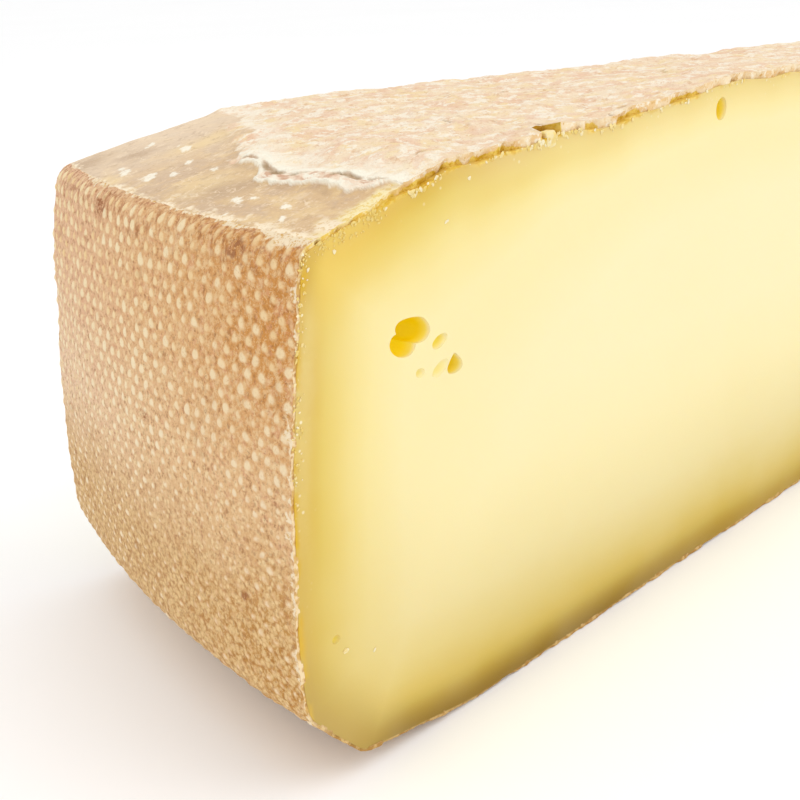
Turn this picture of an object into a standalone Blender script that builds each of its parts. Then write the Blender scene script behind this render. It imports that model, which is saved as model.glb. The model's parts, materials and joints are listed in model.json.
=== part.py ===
# A wedge of mountain cheese, cut from a wheel: one solid with its rind's relief and the eyes in its cut face.
# Metres, +Z up. The heel (the wheel's side) faces -X, the tip +X, and the near cut lies parallel to X, facing -Y.
# The origin is the middle of the footprint, on the surface that the wedge stands on.
import math

import bmesh
import bpy
import numpy as np

# Driving dimensions. An offset is a distance inwards from the wheel's widest radius.
WHEEL_RADIUS = 0.2918
WHEEL_HEIGHT = 0.1088            # at the wheel's middle
CUT_ANGLE = math.radians(20.2)   # between the two cuts
WIDEST_HEIGHT = 0.033            # where the heel bulges out most
HEEL_FOOT = (0.0006, 0.0172)     # offset and height where the heel turns under
HEEL_TOP = (0.0056, 0.0957)      # offset and height of the corner between heel and shoulder
UNDER_LIP = (0.0127, 0.0042)     # the lifted edge of the underside
FOOTPRINT_OFFSET = 0.042         # where the underside meets the table
CREST = (0.0380, 0.1034)         # where the sloping shoulder meets the domed top
DOME_POWER = 2.6

# Mesh density.
RIND_SPACING = 0.0027
TOP_SPACING = 0.0034
INNER_SPACING = 0.0060
UNDER_SPACING = 0.0045
FLAT_SPACING = 0.0260
SLICES = 40                      # steps round the wheel between the cuts, a multiple of 8

# Relief of the rind.
HEEL_RELIEF = 0.00035
TOP_RELIEF = 0.00060
RIDGE_RISE = 0.0012              # the wrinkled ridge that bounds the rough top rind
RIDGE_WIDTH = 0.0026
CRUST_RISE = 0.0005              # the rough rind stands this much above the smooth shoulder
SWELL = (0.0020, 0.162, 0.024, 0.65)   # a swelling of the top at the near cut: rise, radius, width, share of its reach
# Where the ridge runs: share of the way from the near cut to the far one, and offset.
RIDGE_LINE = (
    (0.00, 0.0265), (0.10, 0.0243), (0.22, 0.0250), (0.30, 0.0237), (0.40, 0.0260),
    (0.52, 0.0288), (0.62, 0.0340), (0.73, 0.0366), (1.00, 0.0405),
)

# Eyes in the near cut: offset, height, half width, depth, half height, tilt in degrees.
EYES = (
    (0.0286, 0.0781, 0.0036, 0.0042, 0.0022, 0.0),
    (0.0258, 0.0761, 0.0030, 0.0034, 0.0017, 12.0),
    (0.0346, 0.0748, 0.0017, 0.0016, 0.0010, -20.0),
    (0.0392, 0.0703, 0.0012, 0.0028, 0.0015, 0.0),
    (0.0360, 0.0699, 0.0024, 0.0010, 0.0011, 0.0),
    (0.1205, 0.1030, 0.0021, 0.0024, 0.0025, 0.0),
)

# Flakes broken out along the near top edge: offset, height, half width, depth, half height.
NICKS = (
    (0.0235, 0.1002, 0.0022, 0.0012, 0.0008),
    (0.0310, 0.1020, 0.0042, 0.0014, 0.0010),
    (0.0390, 0.1038, 0.0024, 0.0012, 0.0009),
    (0.0500, 0.1040, 0.0060, 0.0013, 0.0012),
    (0.0765, 0.1055, 0.0024, 0.0016, 0.0010),
    (0.0880, 0.1062, 0.0040, 0.0011, 0.0008),
    (0.1070, 0.1079, 0.0052, 0.0012, 0.0009),
)
NICK_TILT = -6.0
CHIP = (0.0632, 0.1056, 0.0026, 0.0030, 0.0020)   # the square chip, given the same way

PASTE_COLOUR = (0.86, 0.74, 0.40, 1.0)


def hashed(ix, iy, iz, seed):
    """A fixed number from 0 to 1 for each lattice point."""
    mixed = (ix * 73856093) ^ (iy * 19349663) ^ (iz * 83492791) ^ (seed * 39916801)
    mixed = ((mixed ^ (mixed >> 13)) * 60493) & 0x7FFFFFFF
    mixed = ((mixed ^ (mixed >> 11)) * 19990303) & 0x7FFFFFFF
    return ((mixed ^ (mixed >> 15)) & 0xFFFF) / 65535.0


def smooth_noise(x, y, z, size, seed):
    """Lattice values blended smoothly, from -1 to 1, with features about one size across."""
    cell = [np.floor(v / size).astype(np.int64) for v in (x, y, z)]
    part = [v / size - c for v, c in zip((x, y, z), cell)]
    blend = [p * p * (3 - 2 * p) for p in part]
    total = 0.0
    for dx in (0, 1):
        for dy in (0, 1):
            for dz in (0, 1):
                weight = 1.0
                for step, b in zip((dx, dy, dz), blend):
                    weight = weight * (b if step else 1 - b)
                total = total + weight * hashed(cell[0] + dx, cell[1] + dy, cell[2] + dz, seed)
    return 2 * total - 1


def smooth_step(low, high, value):
    """0 below low, 1 above high, eased between."""
    t = np.clip((value - low) / (high - low), 0.0, 1.0)
    return t * t * (3 - 2 * t)


def rounded(corners):
    """A path through corners (radius, height, fillet radius), with an arc in place of each corner."""
    path = [np.array(corners[0][:2])]
    for before, corner, after in zip(corners, corners[1:], corners[2:]):
        here = np.array(corner[:2])
        back = np.array(before[:2]) - here
        ahead = np.array(after[:2]) - here
        back_unit, ahead_unit = back / np.linalg.norm(back), ahead / np.linalg.norm(ahead)
        half = 0.5 * math.acos(np.clip(np.dot(back_unit, ahead_unit), -1, 1))
        reach = corner[2] / math.tan(half)
        for step in np.linspace(0, 1, 9):
            one = here + back_unit * reach * (1 - step)
            two = here + ahead_unit * reach * step
            path.append(one * (1 - step) + two * step)
    path.append(np.array(corners[-1][:2]))
    return path


def crest_radius():
    return WHEEL_RADIUS - CREST[0]


def dome_height(radius):
    """The top's height, falling from the wheel's middle to the crest by a power of the radius."""
    fall = (radius / crest_radius()) ** DOME_POWER
    return WHEEL_HEIGHT - (WHEEL_HEIGHT - CREST[1]) * fall


def heel_offset(height):
    """The heel's bulge: a parabola above its widest height, and a tighter one below."""
    above = HEEL_TOP[0] * ((height - WIDEST_HEIGHT) / (HEEL_TOP[1] - WIDEST_HEIGHT)) ** 2
    below = HEEL_FOOT[0] * ((WIDEST_HEIGHT - height) / (WIDEST_HEIGHT - HEEL_FOOT[1])) ** 2
    return above if height > WIDEST_HEIGHT else below


def outer_path():
    """The wheel's section from the middle of its underside, round the heel, to the crest of its top."""
    heel = []
    for height in np.linspace(HEEL_FOOT[1] + 0.004, HEEL_TOP[1] - 0.006, 14):
        heel.append((WHEEL_RADIUS - heel_offset(height), height, 0.0))
    corners = [(0.0, 0.0, 0.0)]
    corners.append((WHEEL_RADIUS - FOOTPRINT_OFFSET, 0.0, 0.060))
    corners.append((WHEEL_RADIUS - UNDER_LIP[0], UNDER_LIP[1], 0.006))
    corners.append((WHEEL_RADIUS - HEEL_FOOT[0], HEEL_FOOT[1], 0.008))
    corners.append(heel[0])
    lower = rounded(corners)
    corners = [heel[-1]]
    corners.append((WHEEL_RADIUS - HEEL_TOP[0], HEEL_TOP[1], 0.0052))
    corners.append((crest_radius(), CREST[1], 0.045))
    inner = crest_radius() - 0.02
    corners.append((inner, dome_height(inner), 0.0))
    upper = rounded(corners)
    middle = [np.array(point[:2]) for point in heel[1:-1]]
    return lower + middle + upper


def walk(path, spacing_at):
    """Points along a path, spaced by spacing_at(radius, height)."""
    path = np.array(path)
    lengths = np.linalg.norm(np.diff(path, axis=0), axis=1)
    along = np.concatenate([[0.0], np.cumsum(lengths)])
    place, places = 0.0, [0.0]
    while True:
        radius, height = (np.interp(place, along, path[:, k]) for k in (0, 1))
        place += spacing_at(radius, height)
        if place > along[-1]:
            break
        places.append(place)
    return [(np.interp(p, along, path[:, 0]), np.interp(p, along, path[:, 1])) for p in places]


def spacing_at(radius, height):
    """Coarse under the wheel and towards its middle, fine over the heel and the rough top."""
    if height < 0.0002:
        return FLAT_SPACING if radius < WHEEL_RADIUS - 0.08 else UNDER_SPACING
    if height < HEEL_FOOT[1]:
        return UNDER_SPACING
    if radius > crest_radius():
        return RIND_SPACING
    return TOP_SPACING if radius > WHEEL_RADIUS / 2 else INNER_SPACING


def section():
    """The closed section, from the underside's middle round to the top's middle."""
    path = outer_path()
    dome_radii = np.linspace(crest_radius() - 0.022, 0.0, 60)
    path += [np.array((radius, dome_height(radius))) for radius in dome_radii]
    points = walk(path, spacing_at)
    points = [p for p in points if not 0.0 < p[0] < 0.004]
    points.append((0.0, WHEEL_HEIGHT))
    return points


def turn_section(points):
    """The section turned from the near cut to the far one, closed by a flat face at each end."""
    mesh = bmesh.new()
    corners = [mesh.verts.new((-radius, 0.0, height)) for radius, height in points]
    face = mesh.faces.new(corners)
    region = [face] + list(face.edges) + list(face.verts)
    bmesh.ops.spin(mesh, geom=region, cent=(0, 0, 0), axis=(0, 0, -1), angle=CUT_ANGLE, steps=SLICES)
    bmesh.ops.remove_doubles(mesh, verts=mesh.verts, dist=0.00002)
    return mesh


def thin_slices(mesh):
    """Merge neighbouring slices where they crowd together, towards the wheel's middle."""
    slots = {}
    for vert in mesh.verts:
        radius = math.hypot(vert.co.x, vert.co.y)
        if radius > 0.001:
            angle = math.atan2(vert.co.y, -vert.co.x)
            slot = round(angle / CUT_ANGLE * SLICES)
            slots[(slot, round(radius * 1e5), round(vert.co.z * 1e5))] = vert
    merges = {}
    for (slot, radius, height), vert in slots.items():
        share = WHEEL_RADIUS * 1e5 / radius
        group = 8 if share > 8 else 4 if share > 4 else 2 if share > 2 else 1
        keep = slots.get((slot - slot % group, radius, height))
        if keep is not None and keep is not vert:
            merges[vert] = keep
    bmesh.ops.weld_verts(mesh, targetmap=merges)


def ridge_offset(angle):
    """The offset at which the wrinkled ridge runs, between the points of its line."""
    shares, offsets = zip(*RIDGE_LINE)
    return np.interp(angle / CUT_ANGLE, shares, offsets)


def relief(x, y, z):
    """How far the rind stands out from the turned shape, in metres."""
    radius = np.hypot(x, y)
    offset = WHEEL_RADIUS - radius
    angle = np.arctan2(y, -x)
    on_top = smooth_step(HEEL_TOP[1] - 0.001, HEEL_TOP[1] + 0.002, z)
    on_heel = smooth_step(0.010, 0.020, z) * (1 - on_top)
    heel = smooth_noise(x, y, z, 0.016, 1) + 0.5 * smooth_noise(x, y, z, 0.007, 2)
    rough = smooth_noise(x, y, z, 0.014, 3) + 0.8 * smooth_noise(x, y, z, 0.0065, 4)
    ridge_line = ridge_offset(angle)
    past_ridge = smooth_step(-0.003, 0.002, offset - ridge_line)
    near_middle = smooth_step(0.020, 0.080, radius)
    ridge = np.exp(-((offset - ridge_line) / RIDGE_WIDTH) ** 2)
    ridge = ridge * (0.75 + 0.5 * smooth_noise(x, y, z, 0.009, 6))
    top = TOP_RELIEF * rough * (0.25 + 0.75 * past_ridge) * near_middle + RIDGE_RISE * ridge
    top = top + CRUST_RISE * past_ridge * near_middle
    swell_rise, swell_radius, swell_width, swell_reach = SWELL
    swell = np.exp(-((radius - swell_radius) / swell_width) ** 2)
    top = top + swell_rise * swell * (1 - smooth_step(0.0, swell_reach, angle / CUT_ANGLE))
    return HEEL_RELIEF * heel * on_heel + top * on_top


def raise_rind(mesh):
    """Move the rind out by its relief, within each slice's own plane, so that the cuts stay flat."""
    verts = [v for v in mesh.verts if v.co.z > 0.0095 and math.hypot(v.co.x, v.co.y) > 0.001]
    place = np.array([v.co for v in verts])
    x, y, z = place.T
    rise = relief(x, y, z)
    radius = np.hypot(x, y)
    outwards = 1 - smooth_step(HEEL_TOP[1] - 0.003, HEEL_TOP[1] + 0.003, z)
    upwards = 1 - outwards
    size = np.hypot(outwards, upwards)
    moved = np.stack([
        x * (1 + rise * outwards / size / radius),
        y * (1 + rise * outwards / size / radius),
        z + rise * upwards / size,
    ], axis=1)
    for vert, point in zip(verts, moved):
        vert.co = point


def add_object(name, mesh, collection):
    data = bpy.data.meshes.new(name)
    mesh.to_mesh(data)
    mesh.free()
    new = bpy.data.objects.new(name, data)
    collection.objects.link(new)
    return new


def add_cutter(name, place, half_sizes, tilt, collection, seed):
    """An uneven ball, as a hollow leaves it."""
    mesh = bmesh.new()
    bmesh.ops.create_icosphere(mesh, subdivisions=3, radius=1.0)
    for vert in mesh.verts:
        x, y, z = (np.array([v]) for v in vert.co)
        uneven = 1 + 0.10 * smooth_noise(x + 3, y, z, 0.8, seed)[0]
        vert.co = [c * uneven * half for c, half in zip(vert.co, half_sizes)]
    cutter = add_object(name, mesh, collection)
    cutter.location = place
    cutter.rotation_euler = (0.0, math.radians(tilt), 0.0)
    cutter.hide_render = True
    cutter.display_type = 'WIRE'
    return cutter


def add_chip(place, half_sizes, collection):
    """The box-shaped break in the rind."""
    mesh = bmesh.new()
    bmesh.ops.create_cube(mesh, size=2.0)
    for vert in mesh.verts:
        vert.co = [c * half for c, half in zip(vert.co, half_sizes)]
    cutter = add_object('chip', mesh, collection)
    cutter.location = place
    cutter.rotation_euler = (math.radians(12), math.radians(-5), math.radians(8))
    cutter.hide_render = True
    cutter.display_type = 'WIRE'
    return cutter


def cut(target, cutter):
    step = target.modifiers.new(cutter.name, 'BOOLEAN')
    step.operation = 'DIFFERENCE'
    step.solver = 'EXACT'
    step.object = cutter


def make_paste(name, colour):
    material = bpy.data.materials.new(name)
    material.use_nodes = True
    shader = material.node_tree.nodes['Principled BSDF']
    shader.inputs['Base Color'].default_value = colour
    shader.inputs['Roughness'].default_value = 0.5
    shader.inputs['Metallic'].default_value = 0.0
    return material


def new_collection(name):
    collection = bpy.data.collections.new(name)
    bpy.context.scene.collection.children.link(collection)
    return collection


def main():
    for old in list(bpy.data.objects):
        bpy.data.objects.remove(old, do_unlink=True)
    cheese = new_collection('mountain_cheese')
    cutters = new_collection('cutters')

    mesh = turn_section(section())
    thin_slices(mesh)
    raise_rind(mesh)
    bmesh.ops.recalc_face_normals(mesh, faces=mesh.faces)
    low = [min(v.co[k] for v in mesh.verts) for k in (0, 1)]
    high = [max(v.co[k] for v in mesh.verts) for k in (0, 1)]
    middle_x, middle_y = ((a + b) / 2 for a, b in zip(low, high))
    bmesh.ops.translate(mesh, verts=mesh.verts, vec=(-middle_x, -middle_y, 0.0))
    wedge = add_object('cheese_wedge', mesh, cheese)
    wedge.data.materials.append(make_paste('cheese', PASTE_COLOUR))

    near = low[1] - middle_y
    for index, (offset, height, half_width, depth, half_height, tilt) in enumerate(EYES):
        place = (offset - WHEEL_RADIUS - middle_x, near, height)
        halves = (half_width, depth, half_height)
        cut(wedge, add_cutter(f'eye_{index}', place, halves, tilt, cutters, 20 + index))
    for index, (offset, height, half_width, depth, half_height) in enumerate(NICKS):
        place = (offset - WHEEL_RADIUS - middle_x, near, height)
        halves = (half_width, depth, half_height)
        cut(wedge, add_cutter(f'nick_{index}', place, halves, NICK_TILT, cutters, 40 + index))
    place = (CHIP[0] - WHEEL_RADIUS - middle_x, near, CHIP[1])
    cut(wedge, add_chip(place, CHIP[2:], cutters))
    weld = wedge.modifiers.new('weld', 'WELD')
    weld.merge_threshold = 0.00003


main()
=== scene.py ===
import itertools
import json
import math

import bmesh
import bpy
import numpy as np
from mathutils import Matrix, Vector

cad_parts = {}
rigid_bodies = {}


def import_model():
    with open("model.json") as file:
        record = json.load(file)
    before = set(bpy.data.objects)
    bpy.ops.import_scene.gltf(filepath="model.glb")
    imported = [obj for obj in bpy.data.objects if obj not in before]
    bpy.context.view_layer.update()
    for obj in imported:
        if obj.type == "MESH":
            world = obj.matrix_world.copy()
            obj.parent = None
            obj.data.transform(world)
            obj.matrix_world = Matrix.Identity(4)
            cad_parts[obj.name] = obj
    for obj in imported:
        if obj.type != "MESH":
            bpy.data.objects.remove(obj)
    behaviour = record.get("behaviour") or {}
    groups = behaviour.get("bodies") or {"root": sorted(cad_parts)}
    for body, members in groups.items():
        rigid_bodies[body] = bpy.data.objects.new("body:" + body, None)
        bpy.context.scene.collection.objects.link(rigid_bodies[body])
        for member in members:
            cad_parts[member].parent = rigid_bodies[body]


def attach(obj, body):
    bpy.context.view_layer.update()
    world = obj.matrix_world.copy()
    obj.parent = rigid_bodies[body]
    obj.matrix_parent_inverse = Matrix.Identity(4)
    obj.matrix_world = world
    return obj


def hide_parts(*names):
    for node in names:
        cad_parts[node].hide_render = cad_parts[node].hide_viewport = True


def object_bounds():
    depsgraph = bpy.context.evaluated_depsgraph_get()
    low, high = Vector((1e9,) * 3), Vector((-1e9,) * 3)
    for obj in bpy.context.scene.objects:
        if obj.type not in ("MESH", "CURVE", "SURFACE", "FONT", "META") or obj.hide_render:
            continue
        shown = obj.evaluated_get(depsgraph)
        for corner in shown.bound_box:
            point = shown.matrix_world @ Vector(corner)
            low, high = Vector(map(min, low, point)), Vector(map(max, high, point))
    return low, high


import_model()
cadBox = [list(corner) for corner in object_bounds()]

# The wedge is worked out in its wheel's own terms: radius from the wheel's middle, angle from the near cut
# and height. An offset is a distance inwards from the widest radius. Lengths are in metres.
wheel = dict(
    radius=0.2918, height=0.1088, cutAngle=math.radians(20.2), domePower=2.6,
    widestHeight=0.033, heelFoot=(0.0006, 0.0172), heelTop=(0.0056, 0.0957),
    underLip=(0.0127, 0.0042), footprint=0.042, crest=(0.0380, 0.1034),
    tipRadius=0.0004,  # the meshes end this far from the wheel's middle
    baseHeights=(0, 0.01), topHeights=(0.09, 0.1),  # where the underside and the top's edge lie
)
tipX = cadBox[1][0]   # the wheel's middle is the wedge's tip
heelX = tipX - wheel["radius"]
nearY = cadBox[0][1]  # the near cut lies along the front of the box


def smoothStep(low, high, value):  # 0 up to low, 1 from high on, eased between; low may be the greater
    t = np.clip((value - low) / (high - low), 0.0, 1.0)
    return t * t * (3 - 2 * t)


def hump(value, width):  # 1 at zero, falling off as a bell
    return np.exp(-(value / width) ** 2)


def hashed(seed, *cell):  # a fixed number from 0 to 1 for each lattice point
    mixed = seed * 39916801
    for number, prime in zip(cell, (73856093, 19349663, 83492791)):
        mixed = mixed ^ (number * prime)
    mixed = ((mixed ^ (mixed >> 13)) * 60493) & 0x7FFFFFFF
    mixed = ((mixed ^ (mixed >> 11)) * 19990303) & 0x7FFFFFFF
    return ((mixed ^ (mixed >> 15)) & 0xFFFF) / 65535.0


def smoothNoise(size, seed, *at):  # lattice values from -1 to 1, blended over one to three coordinates
    cell = [np.floor(v / size).astype(np.int64) for v in at]
    blend = [p * p * (3 - 2 * p) for p in (v / size - c for v, c in zip(at, cell))]
    total = 0.0
    for corner in itertools.product((0, 1), repeat=len(at)):
        weight = 1.0
        for step, b in zip(corner, blend):
            weight = weight * (b if step else 1 - b)
        total = total + weight * hashed(seed, *(c + step for c, step in zip(cell, corner)))
    return 2 * total - 1


def layeredNoise(size, seed, *at, layers=3):  # each layer is half the size and weight of the one before
    weights = [0.55 ** layer for layer in range(layers)]
    total = 0.0
    for layer, weight in enumerate(weights):
        total = total + weight * smoothNoise(size / 2.03 ** layer, seed + 17 * layer, *at)
    return total / sum(weights)


def creaseNoise(size, seed, *at):  # 1 where layered noise passes through zero, falling to 0
    return 1 - np.minimum(1, 3.0 * np.abs(layeredNoise(size, seed, *at, layers=2)))


def strongest(values):  # the greatest of several arrays at each point
    return np.maximum.reduce(list(values))


def domeHeight(radius):  # the top falls from the wheel's middle to its crest by a power of the radius
    fall = (radius / (wheel["radius"] - wheel["crest"][0])) ** wheel["domePower"]
    return wheel["height"] - (wheel["height"] - wheel["crest"][1]) * fall


def heelOffset(height):  # a parabola above the widest height, and a tighter one below it
    widest, (foot, footHeight), (top, topHeight) = wheel["widestHeight"], wheel["heelFoot"], wheel["heelTop"]
    if height > widest:
        return top * ((height - widest) / (topHeight - widest)) ** 2
    return foot * ((widest - height) / (widest - footHeight)) ** 2


def roundedPath(corners):  # straight runs, with a curve of the given radius in place of each corner
    path = [np.array(corners[0][:2])]
    for before, corner, after in zip(corners, corners[1:], corners[2:]):
        here = np.array(corner[:2])
        back, ahead = np.array(before[:2]) - here, np.array(after[:2]) - here
        back, ahead = back / np.linalg.norm(back), ahead / np.linalg.norm(ahead)
        half = 0.5 * math.acos(np.clip(np.dot(back, ahead), -1, 1))
        reach = corner[2] / math.tan(half)
        for step in np.linspace(0, 1, 9):
            start, end = here + back * reach * (1 - step), here + ahead * reach * step
            path.append(start * (1 - step) + end * step)
    path.append(np.array(corners[-1][:2]))
    return path


def wheelSection():  # from the middle of the underside, round the heel, to the middle of the top
    radius, crest = wheel["radius"], wheel["crest"]
    heights = np.linspace(wheel["heelFoot"][1] + 0.004, wheel["heelTop"][1] - 0.006, 40)
    heel = [(radius - heelOffset(h), h, 0.0) for h in heights]
    lower = roundedPath([
        (0.0, 0.0, 0.0),
        (radius - wheel["footprint"], 0.0, 0.060),
        (radius - wheel["underLip"][0], wheel["underLip"][1], 0.006),
        (radius - wheel["heelFoot"][0], wheel["heelFoot"][1], 0.008),
        heel[0],
    ])
    inner = radius - crest[0] - 0.02
    upper = roundedPath([
        heel[-1],
        (radius - wheel["heelTop"][0], wheel["heelTop"][1], 0.0052),
        (radius - crest[0], crest[1], 0.045),
        (inner, domeHeight(inner), 0.0),
    ])
    dome = [np.array((r, domeHeight(r))) for r in np.linspace(inner - 0.002, 0.0, 120)]
    return np.array(lower + [np.array(p[:2]) for p in heel[1:-1]] + upper + dome)


def evenPath(path, spacing):  # the same path in even steps: length along it, points and outward normals
    length = np.concatenate([[0], np.cumsum(np.linalg.norm(np.diff(path, axis=0), axis=1))])
    along = np.linspace(0, length[-1], int(length[-1] / spacing))
    even = np.stack([np.interp(along, length, path[:, k]) for k in (0, 1)], axis=1)
    slope = np.gradient(even, along, axis=0)
    slope /= np.linalg.norm(slope, axis=1)[:, None]
    return along, even, np.stack([slope[:, 1], -slope[:, 0]], axis=1)


pathLength, pathPoints, pathNormals = evenPath(wheelSection(), 0.0002)


def lengthAt(offset, heights):  # the length along the section where it passes an offset, between two heights
    fits = (pathPoints[:, 1] >= heights[0]) & (pathPoints[:, 1] <= heights[1])
    gap = np.abs(wheel["radius"] - pathPoints[:, 0] - offset) + np.where(fits, 0, 1)
    return pathLength[np.argmin(gap)]


def onSection(along):  # radius, height and the outward normal's two parts at lengths along the section
    columns = (pathPoints[:, 0], pathPoints[:, 1], pathNormals[:, 0], pathNormals[:, 1])
    return [np.interp(along, pathLength, column) for column in columns]


def toPlace(radius, angle, height):  # from the wheel's terms to the frame's x, y and z
    return np.stack([tipX - radius * np.cos(angle), nearY + radius * np.sin(angle), height], axis=-1)


ridge = dict(
    rise=0.0012, width=0.0026, crustRise=0.0005, heelRelief=0.00035, topRelief=0.00060,
    swell=(0.0020, 0.162, 0.024, 0.65),  # of the top at the near cut: rise, radius, width, share of its reach
    bulge=(0.0009, 0.059, 0.013),  # of the crust at the far cut: rise, offset, width
    line=((0.00, 0.0265), (0.10, 0.0243), (0.22, 0.0250), (0.30, 0.0237), (0.40, 0.0260),
          (0.52, 0.0288), (0.62, 0.0340), (0.73, 0.0366), (1.00, 0.0405)),
)


def lineOffset(angle, line):  # the offset of a line given by shares of the way between the cuts
    shares, offsets = zip(*line)
    return np.interp(angle / wheel["cutAngle"], shares, offsets)


# The solid's own uneven rind: soft lumps from two sizes of noise, a ridge round the rough top, and the rough
# rind standing a little above the smooth shoulder.
def rindRelief(radius, angle, height):
    x, y, z = -radius * np.cos(angle), radius * np.sin(angle), height
    topStart = wheel["heelTop"][1]
    onTop = smoothStep(topStart - 0.001, topStart + 0.002, z)
    onHeel = smoothStep(0.010, 0.020, z) * (1 - onTop)
    heel = smoothNoise(0.016, 1, x, y, z) + 0.5 * smoothNoise(0.007, 2, x, y, z)
    rough = smoothNoise(0.014, 3, x, y, z) + 0.8 * smoothNoise(0.0065, 4, x, y, z)
    fromRidge = wheel["radius"] - radius - lineOffset(angle, ridge["line"])
    pastRidge = smoothStep(-0.003, 0.002, fromRidge)
    nearMiddle = smoothStep(0.020, 0.080, radius)
    share = angle / wheel["cutAngle"]
    crest = hump(fromRidge, ridge["width"]) * (0.75 + 0.5 * smoothNoise(0.009, 6, x, y, z))
    crest = crest * smoothStep(1.0, 0.7, share)
    top = ridge["topRelief"] * rough * (0.25 + 0.75 * pastRidge) * nearMiddle + 0.4 * ridge["rise"] * crest
    top = top + ridge["crustRise"] * pastRidge * nearMiddle
    rise, middle, width, reach = ridge["swell"]
    top = top + rise * hump(radius - middle, width) * smoothStep(reach, 0, share)
    rise, middle, width = ridge["bulge"]
    top = top + rise * hump(wheel["radius"] - radius - middle, width) * smoothStep(0.4, 1.0, share)
    return ridge["heelRelief"] * heel * onHeel + top * onTop


def added(thing):  # puts a new object into the scene
    bpy.context.scene.collection.objects.link(thing)
    return thing


# A piece from points and arrays of faces, a row of point numbers a face. Each array has its material's slot.
def newPiece(name, points, faces, materials, slots):
    mesh = bpy.data.meshes.new(name)
    corners = np.concatenate([f.ravel() for f in faces]).astype(np.int32)
    totals = np.concatenate([np.full(len(f), f.shape[1]) for f in faces]).astype(np.int32)
    starts = np.concatenate([[0], np.cumsum(totals)[:-1]]).astype(np.int32)
    slotNumbers = np.concatenate([np.full(len(f), s) for f, s in zip(faces, slots)]).astype(np.int32)
    mesh.vertices.add(len(points))
    mesh.vertices.foreach_set("co", np.clip(points, cadBox[0], cadBox[1]).astype(np.float32).ravel())
    mesh.loops.add(len(corners))
    mesh.loops.foreach_set("vertex_index", corners)
    mesh.polygons.add(len(totals))
    mesh.polygons.foreach_set("loop_start", starts)
    mesh.polygons.foreach_set("loop_total", totals)
    for material in materials:
        mesh.materials.append(material)
    mesh.polygons.foreach_set("material_index", slotNumbers)
    mesh.polygons.foreach_set("use_smooth", np.ones(len(totals), dtype=bool))
    mesh.update(calc_edges=True)
    print(f"{name}: {len(points)} points, {len(totals)} faces")
    return added(bpy.data.objects.new(name, mesh))


def setNumbers(piece, name, values):  # one number for each point, for a material to read
    attribute = piece.data.attributes.new(name, "FLOAT", "POINT")
    attribute.data.foreach_set("value", np.asarray(values, dtype=np.float32).ravel())


def gridFaces(index):  # a quad for each cell of a grid of point numbers
    return np.stack([index[:-1, :-1], index[1:, :-1], index[1:, 1:], index[:-1, 1:]], axis=-1).reshape(-1, 4)


def fanFaces(firsts, seconds, middle):  # triangles from pairs of points to a middle one
    return np.stack([firsts, seconds, np.full(len(firsts), middle)], axis=1)


def topAt(offset):  # the height of the plain section's top at an offset
    radius = wheel["radius"] - offset
    upper = pathPoints[:, 1] > wheel["topHeights"][0]
    return np.interp(radius, pathPoints[upper, 0][::-1], pathPoints[upper, 1][::-1])


def underRind(radius, height):  # how deep the paste lies: the crust on top is thicker than the rind elsewhere
    onCrust = smoothStep(0.022, 0.032, wheel["radius"] - radius) * smoothStep(0.08, 0.10, height)
    return 0.0007 + 0.0008 * onCrust * smoothStep(0.003, 0.020, radius)


innerColumns = 8  # of the coarse grid below each slab of rind


# A slab of rind: a fine outer grid over length along the section and share of the way between the cuts, a
# coarse inner grid below it, a wall along each cut, and many-sided walls across both ends.
# The undercut is how far the near wall leans back under the rind.
def rindSlab(name, along, columns, raiseAt, insetAt, material, undercut):
    rows, step = len(along), (columns - 1) // innerColumns
    share = np.linspace(0, 1, columns)[None, :]
    lengths = along[:, None] + 0 * share
    radius, height, outR, outZ = onSection(lengths)
    nearInset, farInset = insetAt(along, radius[:, 0])
    first = (nearInset / radius[:, 0])[:, None]
    last = wheel["cutAngle"] - (farInset / radius[:, 0])[:, None]
    angle = first + (last - first) * share
    rise, numbers = raiseAt(lengths, angle, radius, height)
    outer = toPlace(radius + outR * rise, angle, height + outZ * rise)
    coarseColumns = np.arange(0, columns, step)
    deep = (rindRelief(radius, angle, height) - underRind(radius, height) - 0.0003)[:, coarseColumns]
    innerRadius = np.maximum(radius[:, coarseColumns] + outR[:, coarseColumns] * deep, wheel["tipRadius"] / 2)
    innerAngle = angle[:, coarseColumns]
    uneven = layeredNoise(0.0022, 77, along, layers=2)
    lean = undercut * np.clip(0.5 + 1.3 * uneven, 0, 1.5) * smoothStep(0.004, 0.030, radius[:, 0])
    innerAngle[:, 0] += lean / innerRadius[:, 0]
    inner = toPlace(innerRadius, innerAngle, height[:, coarseColumns] + outZ[:, coarseColumns] * deep)
    out = np.arange(rows * columns).reshape(rows, columns)
    under = out.size + np.arange(rows * (innerColumns + 1)).reshape(rows, innerColumns + 1)
    walls = [gridFaces(np.stack(pair, axis=1))
             for pair in ((under[:, 0], out[:, 0]), (out[:, -1], under[:, -1]))]
    startWall, endWall = [], []
    for k in range(innerColumns):
        span = slice(k * step, (k + 1) * step + 1)
        startWall.append(np.concatenate([out[0, span], under[0, k:k + 2][::-1]]))
        endWall.append(np.concatenate([out[-1, span][::-1], under[-1, k:k + 2]]))
    faces = [gridFaces(out), gridFaces(under)[:, ::-1], *walls, np.array(startWall), np.array(endWall)]
    points = np.concatenate([outer.reshape(-1, 3), inner.reshape(-1, 3)])
    piece = newPiece(name, points, faces, [material, cutRindMaterial], [0, 0, 1, 1, 0, 0])
    numbers["deep"] = 0 * lengths
    for key, values in numbers.items():
        within = values[:, coarseColumns].ravel() if key != "deep" else np.ones(under.size)
        setNumbers(piece, key, np.concatenate([values.ravel(), within]))
    piece.data.set_sharp_from_angle(angle=math.radians(62))
    return piece


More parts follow.
